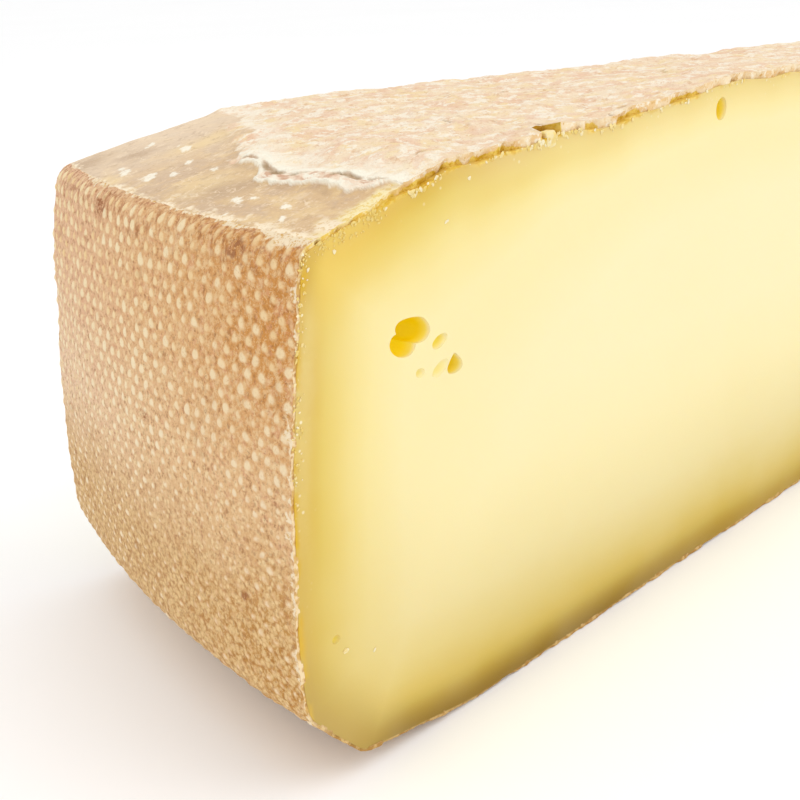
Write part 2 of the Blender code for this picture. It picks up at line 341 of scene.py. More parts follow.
class Wire:  # wraps a shader's socket, so that sums of sockets are written as Python expressions
    def __init__(self, tree, socket=None):
        self.tree, self.socket = tree, socket

    # A node of any kind: its settings are set first, and then the values or links of its sockets.
    def node(self, kind, settings=None, inputs=None, output=0):
        new = self.tree.nodes.new("ShaderNode" + kind)
        for name, value in (settings or {}).items():
            setattr(new, name, value)
        for key, value in (inputs or {}).items():
            if isinstance(value, Wire):
                self.tree.links.new(value.socket, new.inputs[key])
            else:
                new.inputs[key].default_value = value
        return Wire(self.tree, new.outputs[output])

    def math(self, operation, *values):
        return self.node("Math", dict(operation=operation), dict(enumerate(values)))

    def __add__(self, other):
        return self.math("ADD", self, other)

    def __sub__(self, other):
        return self.math("SUBTRACT", self, other)

    def __rsub__(self, other):
        return self.math("SUBTRACT", other, self)

    def __mul__(self, other):
        return self.math("MULTIPLY", self, other)

    def __truediv__(self, other):
        return self.math("DIVIDE", self, other)

    def __pow__(self, other):
        return self.math("POWER", self, other)

    __radd__ = __add__
    __rmul__ = __mul__

    def atMost(self, other):
        return self.math("MINIMUM", self, other)

    def atLeast(self, other):
        return self.math("MAXIMUM", self, other)

    def eased(self, low, high):  # 0 at low, 1 at high, eased between; low may be the greater
        values = {"Value": self, "From Min": low, "From Max": high}
        return self.node("MapRange", dict(interpolation_type="SMOOTHSTEP"), values)

    def moved(self, stretch, shift):  # a place stretched and shifted, so that two textures differ
        shifts = (shift, 0.7 * shift, 0.3 * shift)
        scaled = self.node("VectorMath", dict(operation="MULTIPLY"), {0: self, 1: stretch})
        return scaled.node("VectorMath", dict(operation="ADD"), {0: scaled, 1: shifts})

    def noise(self, size, detail=3.0, roughness=0.5, shift=0.0, stretch=(1, 1, 1)):  # from 0 to 1
        inputs = {"Vector": self.moved(stretch, shift), "Scale": 1 / size}
        return self.node("TexNoise", None, {**inputs, "Detail": detail, "Roughness": roughness})

    def specks(self, size, reach, shift=0.0):  # soft dots, 1 in their middles, one a cell of the given size
        inputs = {"Vector": self.moved((1, 1, 1), shift), "Scale": 1 / size}
        return self.node("TexVoronoi", None, inputs).eased(reach, 0.4 * reach)

    def attribute(self, name):
        return self.node("Attribute", dict(attribute_name=name), None, 2)

    def mixed(self, colourA, colourB):  # from one colour to another by this wire, from 0 to 1
        return self.node("Mix", dict(data_type="RGBA"), {0: self, 6: colourA, 7: colourB}, 2)

    def layered(self, *layers):  # this colour painted over: a layer is its mask, from 0 to 1, and its colour
        colour = self
        for mask, tone in layers:
            colour = mask.mixed(colour, tone)
        return colour

    def wheelTerms(self):  # a place's offset, angle and height in the wheel's own terms
        split = self.node("SeparateXYZ", None, {0: self}).socket.node
        x, y, height = [Wire(self.tree, output) for output in split.outputs]
        towardsHeel, across = tipX - x, y - nearY
        radius = (towardsHeel * towardsHeel + across * across) ** 0.5
        return wheel["radius"] - radius, across.math("ARCTAN2", across, towardsHeel), height


studioLevel = 1.16  # how much brighter than a screen's white the studio lights a white wall


def paint(red, green, blue):  # a colour as it looks in the studio, from 0 to 255, made the surface's own
    values = [v / 255 for v in (red, green, blue)]
    linear = [v / 12.92 if v <= 0.04045 else ((v + 0.055) / 1.055) ** 2.4 for v in values]
    return tuple([v / studioLevel for v in linear] + [1.0])


def painted(colours):  # a table of such colours
    return {name: paint(*rgb) for name, rgb in colours.items()}


def newMaterial(name, constants):  # a material and a wire that carries the place on the piece
    material = bpy.data.materials.new(name)
    material.use_nodes = True
    for key, value in constants.items():
        material.node_tree.nodes["Principled BSDF"].inputs[key].default_value = value
    return material, Wire(material.node_tree).node("TexCoord", None, None, 3)


def finish(material, colour, roughness, relief, strength, distance):  # links what varies over the surface
    bump = relief.node("Bump", None, {"Strength": strength, "Distance": distance, "Height": relief})
    inputs = material.node_tree.nodes["Principled BSDF"].inputs
    for name, wire in (("Base Color", colour), ("Roughness", roughness), ("Normal", bump)):
        material.node_tree.links.new(wire.socket, inputs[name])
    return material


# The heel carries the print of a cheese cloth: rows of raised grains, each row shifted by half a step.
heelRind = dict(
    gridStep=0.00036, topEnd=0.0086, footEnd=0.0300,
    netPitch=0.0037, netRow=0.0025, grainWidth=0.00080, grainHeight=0.00080, grainRise=0.00044,
    ground=0.00020,  # how far the rind between the grains lies under the solid's surface
    closerBelow=0.053, closer=0.16,  # the rows lie closer together low down
    wornHeight=(0.046, 0.066), wornStrength=0.64,
    stains=((0.068, 0.0932, 0.0022), (0.016, 0.0937, 0.0018), (0.046, 0.0590, 0.0012),
            (0.0135, 0.0360, 0.0011)),  # distance from the near cut, height, size
    colours=dict(
        deep=(214, 147, 70), warm=(228, 176, 119), pink=(236, 188, 152),
        tan=(208, 160, 104), tanNear=(199, 142, 64), mid=(240, 199, 151), midFar=(252, 220, 188),
        edge=(234, 186, 128), grain=(248, 215, 160), grainPale=(254, 234, 192),
        grainTan=(255, 236, 200), straw=(250, 222, 174), strawLow=(246, 213, 156),
        rosy=(226, 166, 130), rust=(172, 104, 58), dark=(160, 102, 52), stain=(156, 88, 42),
        rim=(252, 232, 198), gold=(222, 172, 92)),
)


# Grains on a staggered lattice whose threads wander a little. Each is a bell with a ragged edge, narrower
# upwards, with its own size, strength and shade; where two meet, the higher one shows.
def netGrains(arc, height):
    pitch, rowStep = heelRind["netPitch"], heelRind["netRow"]
    zero = 0 * arc
    u = arc + 0.0009 * smoothNoise(0.015, 31, arc, height) + 0.0003 * smoothNoise(0.004, 32, arc, height)
    v = height + 0.0007 * smoothNoise(0.017, 33, arc, height) + 0.0002 * smoothNoise(0.004, 34, arc, height)
    v = v - heelRind["closer"] * np.maximum(heelRind["closerBelow"] - height, 0)
    rough = 0.30 * layeredNoise(0.0016, 35, arc, height, layers=2)
    row = np.floor(v / rowStep + 0.5).astype(np.int64)
    grain, shade = zero, zero
    for rowShift in (-1, 0, 1):
        thisRow = row + rowShift
        stagger = 0.5 * (thisRow % 2)
        middle = np.floor(u / pitch - stagger + 0.5).astype(np.int64)
        for columnShift in (-1, 0, 1):
            column = middle + columnShift
            draw = [hashed(seed, column, thisRow) for seed in (51, 52, 53, 54)]
            size = 0.80 + 0.40 * draw[2]
            du = (u - (column + stagger + 0.16 * (draw[0] - 0.5)) * pitch) / (heelRind["grainWidth"] * size)
            dv = (v - (thisRow + 0.20 * (draw[1] - 0.5)) * rowStep) / (heelRind["grainHeight"] * size)
            du = du * (1 + 0.28 * np.clip(dv, -1, 1))
            bell = np.exp(-np.maximum(np.hypot(du, dv) + rough, 0) ** 2.2) * (0.68 + 0.32 * draw[3])
            shade = np.where(bell > grain, draw[2], shade)
            grain = np.maximum(grain, bell)
    return grain, shade


# The heel's surface: the solid's relief, let in a little between the grains, the grains themselves, weaker
# where the rind is worn, and crumbs and pits, fading out where the top's rind begins.
def raiseHeel(lengths, angle, radius, height):
    arc = angle * wheel["radius"]
    x, y, z = radius * np.cos(angle), radius * np.sin(angle), height
    grain, shade = netGrains(arc, height)
    patch = layeredNoise(0.022, 61, x, y, z)
    low, high = heelRind["wornHeight"]
    strength = smoothStep(low, high, height + 0.012 * patch)
    strength = heelRind["wornStrength"] + (1 - heelRind["wornStrength"]) * strength
    toRim = lengths[-1, 0] - lengths
    strength = strength * smoothStep(0.0002, 0.0016, toRim) * smoothStep(0.006, 0.012, height)
    grain = grain * strength
    crumb = layeredNoise(0.0016, 62, x, y, z)
    pits = smoothStep(0.35, 0.75, layeredNoise(0.0042, 63, x, y, z))
    gritty = 0.00015 * crumb - 0.00014 * pits + 0.00012 * layeredNoise(0.0034, 64, x, y, 0.5 * z)
    rise = rindRelief(radius, angle, height) - heelRind["ground"] * smoothStep(0, 0.003, toRim)
    rise = rise + heelRind["grainRise"] * grain + gritty * smoothStep(0, 0.0012, toRim)
    stain = strongest(hump(np.hypot((arc - middle) / 1.5, height - middleHeight), size)
                      for middle, middleHeight, size in heelRind["stains"])
    strokes = layeredNoise(0.0017, 65, arc, z)
    share = angle / wheel["cutAngle"]
    rimWidth = 0.0005 + 0.0020 * smoothStep(0.16, 0.02, share)
    rimWidth = np.maximum(rimWidth + 0.0012 * smoothNoise(0.0065, 66, arc), 0.0002)
    rim = smoothStep(rimWidth, 0.3 * rimWidth, toRim + 0.0016 * strokes)
    edge = smoothStep(0.0030, 0.0004, arc + 0.0016 * strokes) * smoothStep(-0.15, 0.30, crumb)
    return rise, dict(grain=grain, shade=shade, stain=stain, rim=np.maximum(rim, 0.85 * edge), pits=pits)


def raggedInset(along, radius):  # how far the rind has broken back from the near cut and from the far one
    insets = []
    for seed in (71, 75):
        slow, quick = smoothNoise(0.0060, seed, along), layeredNoise(0.0019, seed + 1, along)
        insets.append(0.00008 + 0.00022 * np.clip(slow + 0.5, 0, 1) + 0.00042 * np.clip(quick + 0.25, 0, 1))
    return insets


# The rind's cut edge: crumbly and cream like the crust at the top, tan flakes with gold gaps down the heel,
# and brown below.
def makeCutRindMaterial():
    material, place = newMaterial("cutRind", {"Specular IOR Level": 0.25})
    offset, height = place.wheelTerms()[::2]
    flaky, nick = place.noise(0.0013, 3.0, 0.65), place.attribute("nick")
    inChip = (nick - 1.0).atLeast(0.0)
    torn = place.attribute("deep") * (0.30 + 0.80 * nick.atMost(1.0))
    torn = torn + 1.1 * (place.noise(0.0034, 4.0, 0.65) - 0.5) + inChip * 0.8
    shoulder = flaky.eased(0.42, 0.54).mixed(paint(240, 202, 92), paint(252, 230, 162))
    shoulder = torn.eased(0.34, 0.50).mixed(shoulder, paint(238, 204, 92))
    crust = place.noise(0.0035, 3.0, 0.6).eased(0.42, 0.60).mixed(paint(250, 228, 190), paint(240, 202, 146))
    crust = crust.layered(
        (flaky.eased(0.54, 0.64), paint(254, 240, 214)),
        (flaky.eased(0.42, 0.32), paint(222, 176, 104)),
        (torn.eased(0.36, 0.52), flaky.eased(0.38, 0.56).mixed(paint(218, 172, 36), paint(246, 212, 104))),
        # dark amber in the chip: partly the torn rind's amber, partly painted shade in the notch
        (inChip * 0.85, paint(198, 146, 34)))
    onHeel = place.noise(0.0022, 3.0, 0.6).eased(0.42, 0.56).mixed(paint(222, 178, 104), paint(248, 222, 178))
    onHeel = place.specks(0.0011, 0.40, 0.2).mixed(onHeel, paint(206, 158, 100))
    onFoot = flaky.eased(0.44, 0.56).mixed(paint(182, 136, 68), paint(218, 182, 118))
    colour = shoulder.layered(
        (offset.eased(0.022, 0.030), crust),
        (height.eased(0.097, 0.091), onHeel),
        (height.eased(0.022, 0.010), onFoot))
    return finish(material, colour, 0.65 + 0.2 * flaky, flaky + 0.5 * place.noise(0.0005), 0.7, 0.0004)


def makeHeelMaterial():
    tone = painted(heelRind["colours"])
    material, place = newMaterial("clothPrintedRind", {"Specular IOR Level": 0.25})
    angle, height = place.wheelTerms()[1:]
    shade, stain = place.attribute("shade"), place.attribute("stain")
    blotch = place.noise(0.012, 3.0)
    fine, finer = place.noise(0.0013, 4.0, 0.7), place.noise(0.00050, 3.0, 0.65)
    worn = (height + 0.03 * blotch).eased(0.098, 0.066)
    low = (height + 0.012 * blotch).eased(0.062, 0.034)
    grain = place.attribute("grain") * (1 - 0.85 * stain)
    grain = grain * (1 - 0.45 * low * place.noise(0.0065, 3.0, 0.6, 0.2).eased(0.36, 0.58))
    farther = (angle + 0.10 * blotch).eased(0.13, 0.40)
    lowTone = (angle + 0.10 * blotch).eased(0.04, 0.22).mixed(tone["tanNear"], tone["tan"])
    crumbs = place.specks(0.0013, 0.54) * place.noise(0.0045, 2.0).eased(0.38, 0.52)
    sandy = place.specks(0.0016, 0.56, 0.7) * (0.3 + fine)
    sandy = sandy.atLeast(place.specks(0.0011, 0.50, 0.9) * finer * 1.2)
    pale = fine.eased(0.50, 0.62) * (0.55 + 0.15 * low)
    pale = pale.atLeast(finer.eased(0.55, 0.66) * (0.55 + 0.10 * low))
    pale = pale.atLeast(crumbs * (0.40 + 0.50 * worn)).atLeast(sandy * low)
    rosy = place.noise(0.0019, 4.0, 0.7, 0.6).eased(0.52, 0.62) * (0.45 - 0.30 * low)
    strokes = place.noise(0.0011, 4.0, 0.7, 0.8, (1, 1, 0.35))  # brushed downwards under the shoulder
    underShoulder = (height + 0.004 * blotch).eased(0.089, 0.0965)
    dark = (finer.eased(0.46, 0.31) * 0.45).atLeast(fine.eased(0.46, 0.33) * (0.62 - 0.12 * low))
    dark = dark.atLeast(place.specks(0.0015, 0.36, 0.5) * 0.40 * worn)
    ground = (angle + 0.12 * blotch).eased(0.06, 0.20).mixed(tone["deep"], tone["warm"]).layered(
        (farther, tone["pink"]),
        (worn * 0.80, farther.mixed(tone["mid"], tone["midFar"])),
        (low, lowTone),
        (rosy, tone["rosy"]),
        (pale, low.mixed(tone["straw"], tone["strawLow"])),
        (underShoulder * strokes.eased(0.50, 0.38) * 0.6, tone["rust"]),
        (underShoulder * strokes.eased(0.54, 0.64) * 0.5, tone["straw"]),
        (dark, tone["dark"]))
    grains = worn.mixed(shade.mixed(tone["grain"], tone["grainPale"]), tone["grainTan"])
    grains = (finer.eased(0.44, 0.30) * 0.35).mixed(grains, ground)
    visible = grain * (0.15 + 1.1 * fine + 0.6 * finer) * (1 + 0.35 * angle.eased(0.08, 0.20))
    stained = stain * (0.20 + 0.9 * fine.eased(0.40, 0.60))
    flakes = place.attribute("rim") * (0.4 + 1.2 * fine)
    rims = (0.6 * fine + 0.4 * finer).eased(0.40, 0.52).mixed(tone["gold"], tone["rim"])
    colour = ground.layered(
        ((grain * (0.55 + 0.9 * fine)).eased(0.05, 0.40) * 0.7, tone["edge"]),
        (visible.eased(0.16, 0.64) * (0.80 + 0.20 * angle.eased(0.06, 0.18)), grains),
        (place.attribute("pits") * 0.25, tone["dark"]),
        (stained.eased(0.15, 0.75) * 0.8, tone["stain"]),
        (flakes.eased(0.40, 0.75), rims))
    return finish(material, colour, 0.85 - 0.15 * grain, fine + 0.9 * finer, 0.8, 0.00055)


def makeHeelRind():
    start = lengthAt(heelRind["footEnd"], wheel["baseHeights"])
    end = lengthAt(heelRind["topEnd"], wheel["topHeights"])
    along = np.linspace(start, end, int((end - start) / heelRind["gridStep"]))
    width = wheel["cutAngle"] * wheel["radius"]
    columns = innerColumns * int(width / heelRind["gridStep"] / innerColumns) + 1
    return rindSlab("heelRind", along, columns, raiseHeel, raggedInset, makeHeelMaterial(), 0.00015)


# The top: a smooth, waxy shoulder beside the heel, then a torn flap of rind with a crevice behind it, and the
# rough, floury crust beyond. Lines are given as (share of the way from the near cut to the far one, offset).
topRind = dict(
    rows=404, columns=217, foldRadius=0.265,
    # how far apart the rows lie, at lengths from the heel's rind
    steps=((0, 0.00034), (0.007, 0.00030), (0.009, 0.00024), (0.026, 0.00024), (0.030, 0.00040),
           (0.060, 0.00055), (0.120, 0.00080), (0.285, 0.0022)),
    flapEdge=((0.000, 0.0290), (0.014, 0.0277), (0.039, 0.0270), (0.053, 0.0245), (0.070, 0.0231),
              (0.091, 0.0221), (0.150, 0.0232), (0.185, 0.0231), (0.223, 0.0222), (0.278, 0.0218),
              (0.335, 0.0216), (0.362, 0.0236), (0.407, 0.0256), (0.482, 0.0261), (0.528, 0.0289),
              (0.545, 0.0315), (0.614, 0.0340), (0.728, 0.0366), (0.852, 0.0388), (1.000, 0.0405)),
    crevice=((0.000, 0.0295), (0.038, 0.0281), (0.066, 0.0272), (0.093, 0.0267), (0.119, 0.0270),
             (0.148, 0.0273), (0.159, 0.0264), (0.190, 0.0260), (0.226, 0.0258), (0.259, 0.0253),
             (0.297, 0.0251), (0.333, 0.0255), (0.401, 0.0273), (0.464, 0.0279), (0.490, 0.0270),
             (0.520, 0.0285)),
    foldEnd=(0.47, 0.54), crackWidth=0.00040,
    # white mould on the shoulder: share, offset, length, width, turn in degrees
    flecks=((0.887, 0.0233, 0.0024, 0.0010, 60), (0.730, 0.0257, 0.0030, 0.0011, 75),
            (0.617, 0.0222, 0.0020, 0.0008, 80), (0.589, 0.0179, 0.0024, 0.0008, 70),
            (0.499, 0.0221, 0.0017, 0.0008, 60), (0.757, 0.0134, 0.0026, 0.0009, 80),
            (0.716, 0.0128, 0.0020, 0.0010, 75), (0.624, 0.0142, 0.0024, 0.0010, 60),
            (0.281, 0.0147, 0.0028, 0.0012, 65), (0.263, 0.0163, 0.0016, 0.0012, 20),
            (0.160, 0.0162, 0.0019, 0.0010, 70), (0.235, 0.0106, 0.0018, 0.0004, 40),
            (0.250, 0.0098, 0.0016, 0.0004, 15), (0.120, 0.0122, 0.0022, 0.0005, 50)),
    # share, offset, size
    yellowPatches=((0.730, 0.0269, 0.0040), (0.719, 0.0298, 0.0040), (0.740, 0.0327, 0.0036),
                   (0.692, 0.0094, 0.0022), (0.725, 0.0093, 0.0018), (0.420, 0.0175, 0.0060)),
    dullPatches=((0.370, 0.0168, 0.0046), (0.345, 0.0192, 0.0032), (0.930, 0.0105, 0.0050),
                 (0.840, 0.0190, 0.0042)),
    # in the crust: share, offset, length, turn in degrees
    cracks=((0.091, 0.0391, 0.0022, 12), (0.056, 0.0901, 0.0020, 5), (0.026, 0.0837, 0.0014, 40),
            (0.300, 0.0620, 0.0026, 70), (0.550, 0.0930, 0.0024, 25), (0.400, 0.1320, 0.0020, 60)),
    # broken out of the near edge: offset, half width, depth
    nicks=((0.0235, 0.0022, 0.0006), (0.0310, 0.0040, 0.0007), (0.0390, 0.0022, 0.0006),
           (0.0500, 0.0060, 0.0006), (0.0765, 0.0020, 0.0008), (0.0880, 0.0036, 0.0005),
           (0.1070, 0.0050, 0.0006)),
    chip=(0.0641, 0.0024, 0.0025),
    # pockets of the crevice: share, half the share it spans, how open it is
    pockets=((0.450, 0.042, 0.45), (0.340, 0.052, 1.0), (0.252, 0.034, 0.40), (0.128, 0.042, 0.95),
             (0.062, 0.024, 0.35)),
    colours=dict(
        waxy=(219, 184, 138), waxyGold=(231, 198, 146), waxyGrey=(208, 177, 143),
        waxyPale=(241, 217, 186), waxyYellow=(242, 212, 156), waxyDark=(190, 154, 112),
        dull=(196, 163, 126), amber=(240, 208, 118), crumbly=(250, 234, 180),
        crust=(248, 224, 190), crustPink=(241, 203, 170), crustDark=(206, 162, 120),
        crustYellow=(247, 220, 170), crustWhite=(254, 243, 222), crustTan=(226, 184, 142),
        fold=(248, 224, 198), wrinkle=(214, 168, 136),
        # crevice is the colour of the painted shade in the fold's pockets and the crust's cracks
        shadow=(196, 164, 128), crevice=(176, 146, 108), rimTan=(228, 190, 128),
        rim=(252, 234, 202), fleck=(255, 248, 228)),
)


def steppedLengths(start, end, count, stepAt):  # lengths from start to end, spaced in proportion to stepAt
    fine = np.linspace(start, end, 6000)
    total = np.concatenate([[0], np.cumsum(1 / stepAt(fine[1:]))])
    return np.interp(np.linspace(0, total[-1], count), total, fine)


def turned(arc, offset, middleArc, middleOffset, degrees):  # distances along and across a mark's direction
    cos, sin = math.cos(math.radians(degrees)), math.sin(math.radians(degrees))
    da, do = arc - middleArc, offset - middleOffset
    return do * cos + da * sin, da * cos - do * sin


def nickReach(offset, weights, chipWeight, chipEdge):  # the near edge's nicks and its square chip, weighted
    marks = [(*mark[:2], weight, (1.25, 0.75)) for mark, weight in zip(topRind["nicks"], weights)]
    marks.append((*topRind["chip"][:2], chipWeight, chipEdge))
    return strongest(weight * smoothStep(*edge, np.abs(offset - middle) / half)
                     for middle, half, weight, edge in marks)


def nickDepth(offset):  # how far the near edge has broken back
    return nickReach(offset, [nick[2] for nick in topRind["nicks"]], topRind["chip"][2], (1.1, 0.9))


def nickStrength(offset):  # 1 in the nicks, where torn rind shows amber, and 2 in the chip, all of it amber
    return nickReach(offset, [1] * len(topRind["nicks"]), 2, (1.4, 1.0))


def closingInset(along, radius):  # fading out towards the tip, where the two cuts meet
    near, far = raggedInset(along, radius)
    closing = smoothStep(0.002, 0.030, radius)
    return near * closing, far * closing


def topInset(along, radius):
    near, far = closingInset(along, radius)
    uneven = 0.7 + 0.6 * np.clip(layeredNoise(0.0016, 79, along) + 0.5, 0, 1)
    return near + nickDepth(wheel["radius"] - radius) * uneven, far


# The fold's height over the plain rind: a step up at the flap's edge with a raised lip, wrinkles along the
# strip behind it, a crevice that opens in a few pockets, and a small step up where the crust begins.
def foldRelief(arc, share, toFlap, toCrevice, folded):
    wrinkles = creaseNoise(0.0012, 81, arc * 0.16, toFlap)
    strip = smoothStep(0, 0.0004, toFlap) * smoothStep(0.0006, -0.0003, toCrevice)
    rise = 0.00032 * smoothStep(-0.00015, 0.00030, toFlap) * smoothStep(0.010, 0.004, toFlap)
    rise = rise + 0.00012 * hump(toFlap - 0.0004, 0.00040) + 0.00013 * strip * (wrinkles - 0.4)
    opening = strongest(wide * smoothStep(1.15, 0.45, np.abs(share - middle) / half)
                        for middle, half, wide in topRind["pockets"])
    width = 0.0003 + 0.0013 * opening
    gap = smoothStep(-width, -0.45 * width, toCrevice) * smoothStep(0.00020, -0.00010, toCrevice)
    gap = gap * smoothStep(0.10, 0.40, opening)
    rise = rise - 0.00042 * gap * opening
    rise = rise + 0.00014 * smoothStep(-0.0001, 0.0003, toCrevice) * smoothStep(0.0040, 0.0008, toCrevice)
    # the last value marks the crevice's open pockets, for painted shade
    return rise * folded, strip * folded, wrinkles, gap * (0.45 + 0.45 * opening)


# The marks on the top, each 0 or more: white mould, yellow and dull patches, and cracks in the crust.
def topMarks(arc, angle, radius, wobble, ragged):
    offset, toArc = wheel["radius"] - radius, wheel["cutAngle"] * topRind["foldRadius"]
    flecks, cracks = [], []
    for share, middleOffset, length, width, degrees in topRind["flecks"]:
        along, sideways = turned(arc, offset, share * toArc, middleOffset, degrees)
        reach = np.hypot(along / length, sideways / width) + 0.9 * wobble + 1.1 * ragged
        flecks.append(smoothStep(1.25, 0.20, reach))
    yellow, dull = [
        strongest(hump(np.hypot(arc - share * toArc, offset - middleOffset) * (1 - 0.4 * wobble), size)
                  for share, middleOffset, size in patches)
        for patches in (topRind["yellowPatches"], topRind["dullPatches"])]
    for share, middleOffset, length, degrees in topRind["cracks"]:
        middleArc = share * wheel["cutAngle"] * (wheel["radius"] - middleOffset)
        along, sideways = turned(angle * radius, offset, middleArc, middleOffset, degrees)
        reach = np.hypot(along / length, (sideways + 0.0007 * wobble) / topRind["crackWidth"])
        cracks.append(smoothStep(1.2, 0.3, reach))
    return dict(fleck=strongest(flecks), yellow=yellow, dull=dull), strongest(cracks)


# Crumbly rind along the top's start: a band that widens towards the near cut, its corner, and stray bits.
def topRim(share, across, fromRim, arc, offset, wobble, ragged):
    width = 0.0016 - 0.0014 * smoothStep(0.22, 0.62, share)
    width = np.maximum(width + 0.0015 * layeredNoise(0.008, 91, arc), 0.0002)
    strokes = layeredNoise(0.0017, 92, arc, offset)
    band = smoothStep(width * 1.4, width * 0.4, fromRim + 0.0018 * strokes + 0.0010 * wobble)
    band = band * smoothStep(-0.35, -0.05, strokes + 0.7 * ragged)
    corner = smoothStep(0.0090, 0.0020, across) * smoothStep(0.011, 0.004, fromRim)
    corner = corner * smoothStep(-0.10, 0.35, wobble + 0.6 * strokes)
    stray = smoothStep(0.38, 0.60, strokes + 0.5 * wobble) * smoothStep(0.0070, 0.0015, fromRim)
    rim = strongest([band, corner, 0.8 * stray * smoothStep(0.75, 0.30, share)])
    return rim, rim * (0.00010 + 0.00020 * strokes)


# The top's surface: the solid's relief, the fold, lumps, flakes and grit where the crust lies, mould standing a
# little proud, cracks and the crumbly rim, all of it fading out where the heel's rind begins.
def raiseTop(lengths, angle, radius, height):
    offset, fromRim = wheel["radius"] - radius, lengths - lengths[0, 0]
    share, arc = angle / wheel["cutAngle"], angle * topRind["foldRadius"]
    x, y = radius * np.cos(angle), radius * np.sin(angle)  # y is the distance from the near cut
    wobble, ragged = layeredNoise(0.0034, 83, x, y), layeredNoise(0.0018, 94, x, y)
    flaky = layeredNoise(0.0011, 96, x, y, layers=2)
    flap, crevice = lineOffset(angle, topRind["flapEdge"]), lineOffset(angle, topRind["crevice"])
    toFlap = offset - flap + 0.0008 * wobble + 0.0007 * ragged + 0.0002 * flaky
    toCrevice = offset - crevice + 0.0006 * layeredNoise(0.0030, 84, x, y) + 0.0003 * flaky
    folded = smoothStep(topRind["foldEnd"][1], topRind["foldEnd"][0], share + 0.04 * wobble)
    fold, strip, wrinkles, gap = foldRelief(arc, share, toFlap, toCrevice, folded)
    patch = layeredNoise(0.0075, 85, x, y)
    soft = smoothStep(-0.0040, 0.0040, toFlap + 0.0040 * patch + 0.0030 * wobble)
    crust = folded * smoothStep(0, 0.0004, toFlap) + (1 - folded) * soft

    lumps, grit = layeredNoise(0.0046, 86, x, y), layeredNoise(0.0015, 90, x, y)
    flakes = smoothStep(-0.06, 0.10, layeredNoise(0.0058, 87, x, y))
    flakes = flakes + 0.8 * smoothStep(0.08, 0.22, layeredNoise(0.0030, 88, x, y))
    crusty = 0.00020 * lumps + 0.00016 * flakes + 0.00014 * grit
    marks, crack = topMarks(arc, angle, radius, wobble, ragged)
    rim, rimRise = topRim(share, y, fromRim, arc, offset, wobble, ragged)
    rise = fold + crust * smoothStep(0.004, 0.030, radius) * crusty + (1 - crust) * 0.00004 * lumps
    rise = rise + 0.00010 * marks["fleck"] - 0.00030 * crack + rimRise
    rise = rindRelief(radius, angle, height) + rise * smoothStep(0, 0.0010, fromRim)

    lips = smoothStep(-0.0001, 0.0002, toFlap) * smoothStep(0.0014, 0.0005, toFlap)
    lips = lips + smoothStep(0, 0.0002, toCrevice) * smoothStep(0.0036, 0.0010, toCrevice + 0.0012 * ragged)
    lips = lips + 0.9 * strip * smoothStep(0.40, 0.80, wrinkles)
    behind = offset - np.where(folded > 0.5, crevice, flap + 0.002)
    fringe = smoothStep(0.0052, 0.0008, y + 0.0030 * layeredNoise(0.0026, 93, x, y))
    return rise, dict(
        marks, crust=crust, fold=strip, rim=rim, fringe=fringe * (1 - rim), flakes=flakes / 1.8,
        lips=np.clip(lips * folded * (1.0 + 1.0 * flaky), 0, 1),
        # dark: painted shade in the crevice's pockets and in the crust's cracks
        dark=np.clip(gap * folded * (1 + 0.7 * flaky) + 0.8 * crack, 0, 1),
        shadow=hump(toFlap + 0.0007, 0.00055) * folded * smoothStep(-0.3, 0.3, smoothNoise(0.0048, 95, arc)),
        bloom=smoothStep(-0.0005, 0.001, behind) * smoothStep(0.011, 0.002, behind + 0.006 * patch),
        furrow=strip * smoothStep(0.40, 0.05, wrinkles) * smoothStep(-0.35, 0.15, ragged + wobble),
        nick=nickStrength(offset) * (share < 0.5))


